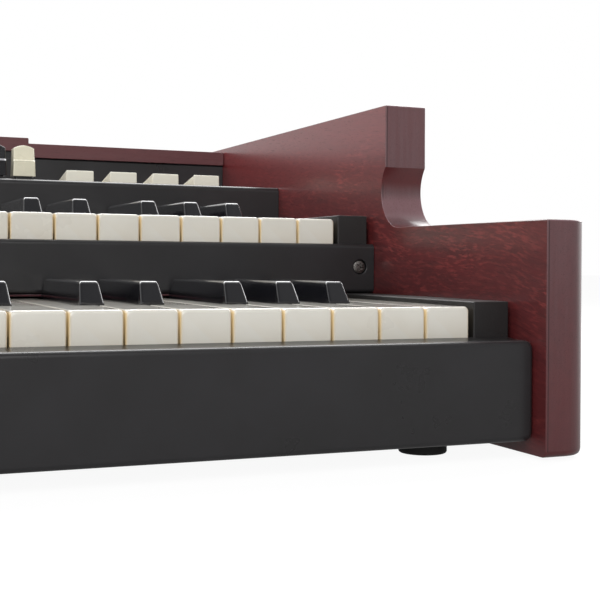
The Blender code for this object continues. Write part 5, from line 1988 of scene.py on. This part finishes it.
@dataclass
class ShelfControls:
    """Rocker tabs and rotary knobs."""

    tab_slope: float = math.tan(math.radians(11.5))
    tab_edge: float = 0.0007
    tab_under: float = 0.004
    tab_taper: float = 0.035
    # Strength of the painted shade on the sides, and the depth under the top over which it grows.
    tab_shade: float = 0.7
    tab_shade_depth: float = 0.02
    shaft: float = 0.003
    collar: float = 0.011
    skirt: float = 0.0035
    skirt_edge: float = 0.0009
    skirt_rim: float = 0.99
    skirt_side: float = 0.6
    wall: float = 0.86
    cap: tuple[Limits, ...] = ((0.96, 0.0008), (0.93, 0.0002), (0.86, 0.0), (0.6, 0.0005))
    pole: float = 0.0006
    dish: float = 0.0006
    knob_sides: int = 96
    flutes: tuple[int, float] = (24, 0.012)
    pointer: float = 0.0009
    pointer_inset: float = 0.0032
    pointer_end: float = 0.001
    pointer_height: float = 0.0008
    pointer_edge: float = 0.0002

    def tab(self, node: str) -> Surface:
        """Wedge from sections along Y whose top falls evenly from the front, a little narrower above.

        Args:
            node: Its node.

        Returns:
            The closed surface.
        """
        low, high = box_of(node)
        length = high[1] - low[1]
        fine = edge_steps(self.tab_edge, 5)
        depth = np.concatenate([fine, length - fine[::-1]])
        drop = rounding(np.minimum(depth, length - depth), self.tab_edge)
        top = high[2] - self.tab_slope * depth - drop
        half = (high[0] - low[0]) / 2 - drop
        middle = (low[0] + high[0]) / 2
        bottom = low[2] + self.tab_under
        rings = sections(low[1] + depth, (-half, half, bottom, top), self.tab_edge, steps=4)
        rings[..., 0] *= 1 - self.tab_taper * (rings[..., 2] - bottom) / (high[2] - bottom)
        rings[..., 0] += middle
        # Painted shade on the sides, darker towards the bottom.
        under = np.clip((high[2] - rings[..., 2]) / self.tab_shade_depth, 0, 1)
        return tube(rings, self.tab_shade * under * (np.abs(rings[..., 0] - middle) > half.min()))

    def rotary(self, node: str) -> Surface:
        """Turned knob: fluted wall over a smooth skirt, with a dished top.

        The cap is given as shares of the wall's radius and depths under the top.

        Args:
            node: Its node.

        Returns:
            The closed surface.
        """
        low, high = box_of(node)
        middle = (low + high) / 2
        radius = (high[0] - low[0]) / 2
        height = high[2] - low[2] - self.collar
        base = high[2] - height
        wall = radius * self.wall
        near = radius * self.skirt_rim
        cap = [(wall * share, height - drop) for share, drop in self.cap]
        profile = [
            (self.shaft, low[2] - base), (self.shaft, SEAT_GAP), (near, SEAT_GAP), (radius, self.skirt_edge),
            (near, self.skirt * self.skirt_side), (wall, self.skirt), *cap, (self.pole, height - self.dish),
        ]
        place = (middle[0], middle[1], base)
        return tube(turned_rings(np.array(profile), place, sides=self.knob_sides, flutes=self.flutes))

    def mark(self, node: str) -> Surface:
        """White pointer line on a knob's top.

        Args:
            node: The knob's node.

        Returns:
            The closed surface.
        """
        low, high = box_of(node)
        middle = (low + high) / 2
        half = self.pointer / 2
        start = (middle[0] - half, low[1] + self.pointer_inset, high[2] - self.pointer_height)
        end = (middle[0] + half, middle[1] - self.pointer_end, high[2])
        return rounded_box(start, end, self.pointer_edge, 2)

    def build(self, workshop: Workshop) -> None:
        """Makes the tabs and knobs, and dresses their channel.

        Args:
            workshop: Maker of the pieces.
        """
        for node in ROCKER_TABS:
            workshop.add(f"{node}_wedge", self.tab(node), "tab", node, [node])
        for node in ROTARY_KNOBS:
            workshop.add(f"{node}_cap", self.rotary(node), "moulded", node, [node])
            workshop.add(f"{node}_mark", self.mark(node), "cream", node)
        workshop.dress("tab_channel", "steel")


@dataclass
class RearFittings:
    """Power inlet with its pins, jack sockets with their nuts, and the boards inside."""

    pin_width: float = 0.004
    pin_thickness: float = 0.002
    pin_edge: float = 0.0004
    pin_places: tuple[Limits, ...] = ((-0.007, -0.002), (0.0, 0.003), (0.007, -0.002))
    pin_depths: Limits = (0.0155, 0.003)
    socket_drop: float = 0.0125
    jacks: int = 4
    jack_pitch: float = 0.026
    nut_radius: float = 0.0062
    nut_edge: float = 0.0004
    nut_gap: float = 0.0001
    bore_radius: float = 0.0036
    nut_height: float = 0.0022

    def pins(self) -> list[Surface]:
        """Three flat pins standing in the socket: the middle one higher.

        Returns:
            One closed surface for each.
        """
        low, high = box_of("power_inlet")
        middle = (low + high) / 2 - (0, 0, self.socket_drop)
        half = np.array([self.pin_thickness, 0, self.pin_width]) / 2
        root, tip = self.pin_depths
        pins = []
        for u, v in self.pin_places:
            place = np.array([middle[0] + u, high[1], middle[2] + v])
            pins.append(rounded_box(place - half - (0, root, 0), place + half - (0, tip, 0), self.pin_edge))
        return pins

    def nut(self, number: int) -> Surface:
        """Round nut about a bore: a closed profile turned about Y.

        Args:
            number: Number of the jack, from 0.

        Returns:
            The closed surface.
        """
        low, high = box_of("jack_panel")
        x = (low[0] + high[0]) / 2 + self.jack_pitch * (number - (self.jacks - 1) / 2)
        outer, bore, tall, edge = self.nut_radius, self.bore_radius, self.nut_height, self.nut_edge
        profile = [
            (bore, 0.0), (outer, 0.0), (outer, tall - edge), (outer - edge, tall), (bore + edge, tall),
            (bore, tall - edge),
        ]
        place = (x, high[1] + self.nut_gap, (low[2] + high[2]) / 2)
        rings = turned_rings(np.array(profile), place, Axis.Y)
        index = np.arange(rings.shape[0] * rings.shape[1]).reshape(rings.shape[:2])
        return Surface(rings.reshape(-1, 3), ring_quads(np.concatenate([index, index[:1]]))).outward()

    def build(self, workshop: Workshop) -> None:
        """Makes the pins and nuts, and dresses the nodes of the back and the inside.

        Args:
            workshop: Maker of the pieces.
        """
        workshop.add("inlet_pins", joined(self.pins()), "steel")
        workshop.add("jack_nuts", joined([self.nut(number) for number in range(self.jacks)]), "steel")
        for node in ("power_inlet", "power_switch", "jack_panel"):
            workshop.dress(node, "moulded")
        workshop.dress("power_supply", "steel")
        workshop.dress("main_board", "board")


@dataclass(frozen=True)
class Lamp:
    """Soft oblong lamp that looks from a place at an aim.

    Its power is four times its brightness times its area.
    """

    name: str
    place: Triple
    aim: Triple
    size: Limits
    bright: float

    def hang(self) -> None:
        """Adds the lamp to the scene."""
        data = bpy.data.lights.new(self.name, "AREA")
        data.shape = "RECTANGLE"
        data.size, data.size_y = self.size
        data.energy = 4 * self.bright * self.size[0] * self.size[1]
        lamp = bpy.data.objects.new(self.name, data)
        bpy.context.scene.collection.objects.link(lamp)
        lamp.location = self.place
        x, y, z = np.array(self.aim, float) - np.array(self.place, float)
        lamp.rotation_euler = (QUARTER_TURN + math.atan2(z, math.hypot(x, y)), 0.0, math.atan2(-x, y))


@dataclass
class Studio:
    """Floor, light and camera."""

    focal_length: float = 68.9
    place: Triple = (0.1403, -0.7129, 0.0899)
    yaw: float = math.radians(23.0)
    roll: float = math.radians(0.43)
    shift_down: float = 0.0608
    nearest: float = 0.01
    ambient: float = 0.31
    mirrored_front: float = 0.34
    mirrored_left: float = 0.18
    mirrored_back: float = 1.0
    sky_depths: Limits = (-0.3, 0.1)
    sky_sides: Limits = (-0.1, 0.4)
    floor_depths: Limits = (-0.4, 0.6)
    floor_sides: Limits = (0.0, 0.9)
    floor_reach: float = 8.0
    floor_glow: float = 0.93
    floor_grey: float = 0.62
    floor_shadow: float = 0.12
    lamps: tuple[Lamp, ...] = (
        Lamp("front_lamp", (-0.9, -2.1, 1.3), (0.2, 0.0, 0.08), (3.2, 2.2), 1.95),
        Lamp("back_lamp", (0.3, 0.81, 1.23), (0.2, -0.15, 0.08), (2.0, 0.8), 4.6),
        Lamp("right_lamp", (1.7, 0.35, 0.8), (0.3, -0.15, 0.08), (0.6, 1.1), 4.5),
    )

    def mirrored(self, w: NodeWriter, place: object, depths: Limits, sides: Limits) -> Socket:
        """What a mirror sees of the studio: a dim room in front of the object, a white backdrop behind it.

        Args:
            w: Writer of the nodes.
            place: X, Y and Z of the place or direction that is seen.
            depths: Y at which the room in front ends, and Y at which the backdrop is whole.
            sides: X at which the room is darkest, and X at which it is lightest.

        Returns:
            Brightness.
        """
        lighter = self.mirrored_front - self.mirrored_left
        front = w.line(w.band(place["X"], *sides), lighter, self.mirrored_left)
        back = w.band(place["Y"], *depths)
        return w.line(back, w.math("SUBTRACT", self.mirrored_back, front), front)

    def world(self) -> None:
        """White surroundings, dimmer as a light than they look."""
        world = bpy.data.worlds.new("studio")
        world.use_nodes = True
        bpy.context.scene.world = world
        w = NodeWriter(world.node_tree)
        rays = w.add("ShaderNodeLightPath").outputs
        direction = w.split(w.add("ShaderNodeTexCoord").outputs["Generated"])
        mirrored = self.mirrored(w, direction, self.sky_depths, self.sky_sides)
        glossy = w.product(rays["Is Glossy Ray"], w.math("SUBTRACT", mirrored, self.ambient))
        seen = w.math("ADD", rays["Is Camera Ray"], rays["Is Transmission Ray"], clamp=True)
        strength = w.math("ADD", w.line(seen, 1.0 - self.ambient, self.ambient), glossy)
        w.feed(world.node_tree.nodes["Background"], {"Color": WHITE, "Strength": strength})

    def floor(self) -> None:
        """Pale floor that looks white and keeps a faint shadow."""
        mesh = bpy.data.meshes.new("floor")
        reach = self.floor_reach
        corners = [(-reach, -reach, 0), (reach, -reach, 0), (reach, reach, 0), (-reach, reach, 0)]
        mesh.from_pydata(corners, [], [(0, 1, 2, 3)])
        floor = bpy.data.objects.new("floor", mesh)
        bpy.context.scene.collection.objects.link(floor)
        material = bpy.data.materials.new("pale_floor")
        material.use_nodes = True
        w = NodeWriter(material.node_tree)
        material.node_tree.nodes.remove(material.node_tree.nodes["Principled BSDF"])
        rays = w.add("ShaderNodeLightPath").outputs
        place = w.split(w.add("ShaderNodeNewGeometry").outputs["Position"])
        seen = w.math("ADD", rays["Is Camera Ray"], rays["Is Transmission Ray"], clamp=True)
        shown = w.math("ADD", seen, rays["Is Glossy Ray"], clamp=True)
        mirrored = self.mirrored(w, place, self.floor_depths, self.floor_sides)
        strength = w.line(rays["Is Glossy Ray"], mirrored, w.product(seen, self.floor_glow))
        plain, faint = (
            w.add("ShaderNodeBsdfDiffuse", {"Color": (grey, grey, grey, 1.0)}).outputs[0]
            for grey in (self.floor_grey, self.floor_shadow)
        )
        glow = w.add("ShaderNodeEmission", {"Color": WHITE, "Strength": strength}).outputs[0]
        both = w.add("ShaderNodeAddShader", {0: faint, 1: glow}).outputs[0]
        mix = w.add("ShaderNodeMixShader", {0: shown, 1: plain, 2: both}).outputs[0]
        w.feed(material.node_tree.nodes["Material Output"], {"Surface": mix})
        mesh.materials.append(material)

    def camera(self) -> None:
        """Camera at the photograph's place: turned to the right, level, and rolled a little."""
        data = bpy.data.cameras.new("camera")
        data.lens = self.focal_length
        data.shift_y = -self.shift_down
        data.clip_start = self.nearest
        camera = bpy.data.objects.new("camera", data)
        bpy.context.scene.collection.objects.link(camera)
        turn = Matrix.Rotation(-self.yaw, 4, "Z") @ Matrix.Rotation(QUARTER_TURN, 4, "X")
        camera.matrix_world = Matrix.Translation(self.place) @ turn @ Matrix.Rotation(self.roll, 4, "Z")
        bpy.context.scene.camera = camera

    def build(self) -> None:
        """Sets up the whole studio."""
        bpy.context.scene.view_settings.view_transform = "Standard"
        self.world()
        self.floor()
        for lamp in self.lamps:
            lamp.hang()
        self.camera()


def main() -> None:
    """Builds the sub-assemblies in order around the frame."""
    logging.basicConfig(level=logging.INFO, format="%(message)s")
    for old in list(bpy.data.objects):
        bpy.data.objects.remove(old)
    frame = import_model()
    workshop = Workshop(Effects.built(), frame["nodes"])
    manuals = (Manual(name) for name in MANUALS)
    for assembly in (WoodenCase(), Panels(), *manuals, Drawbars(), ShelfControls(), RearFittings()):
        assembly.build(workshop)
    Studio().build()


if __name__ == "__main__":
    main()
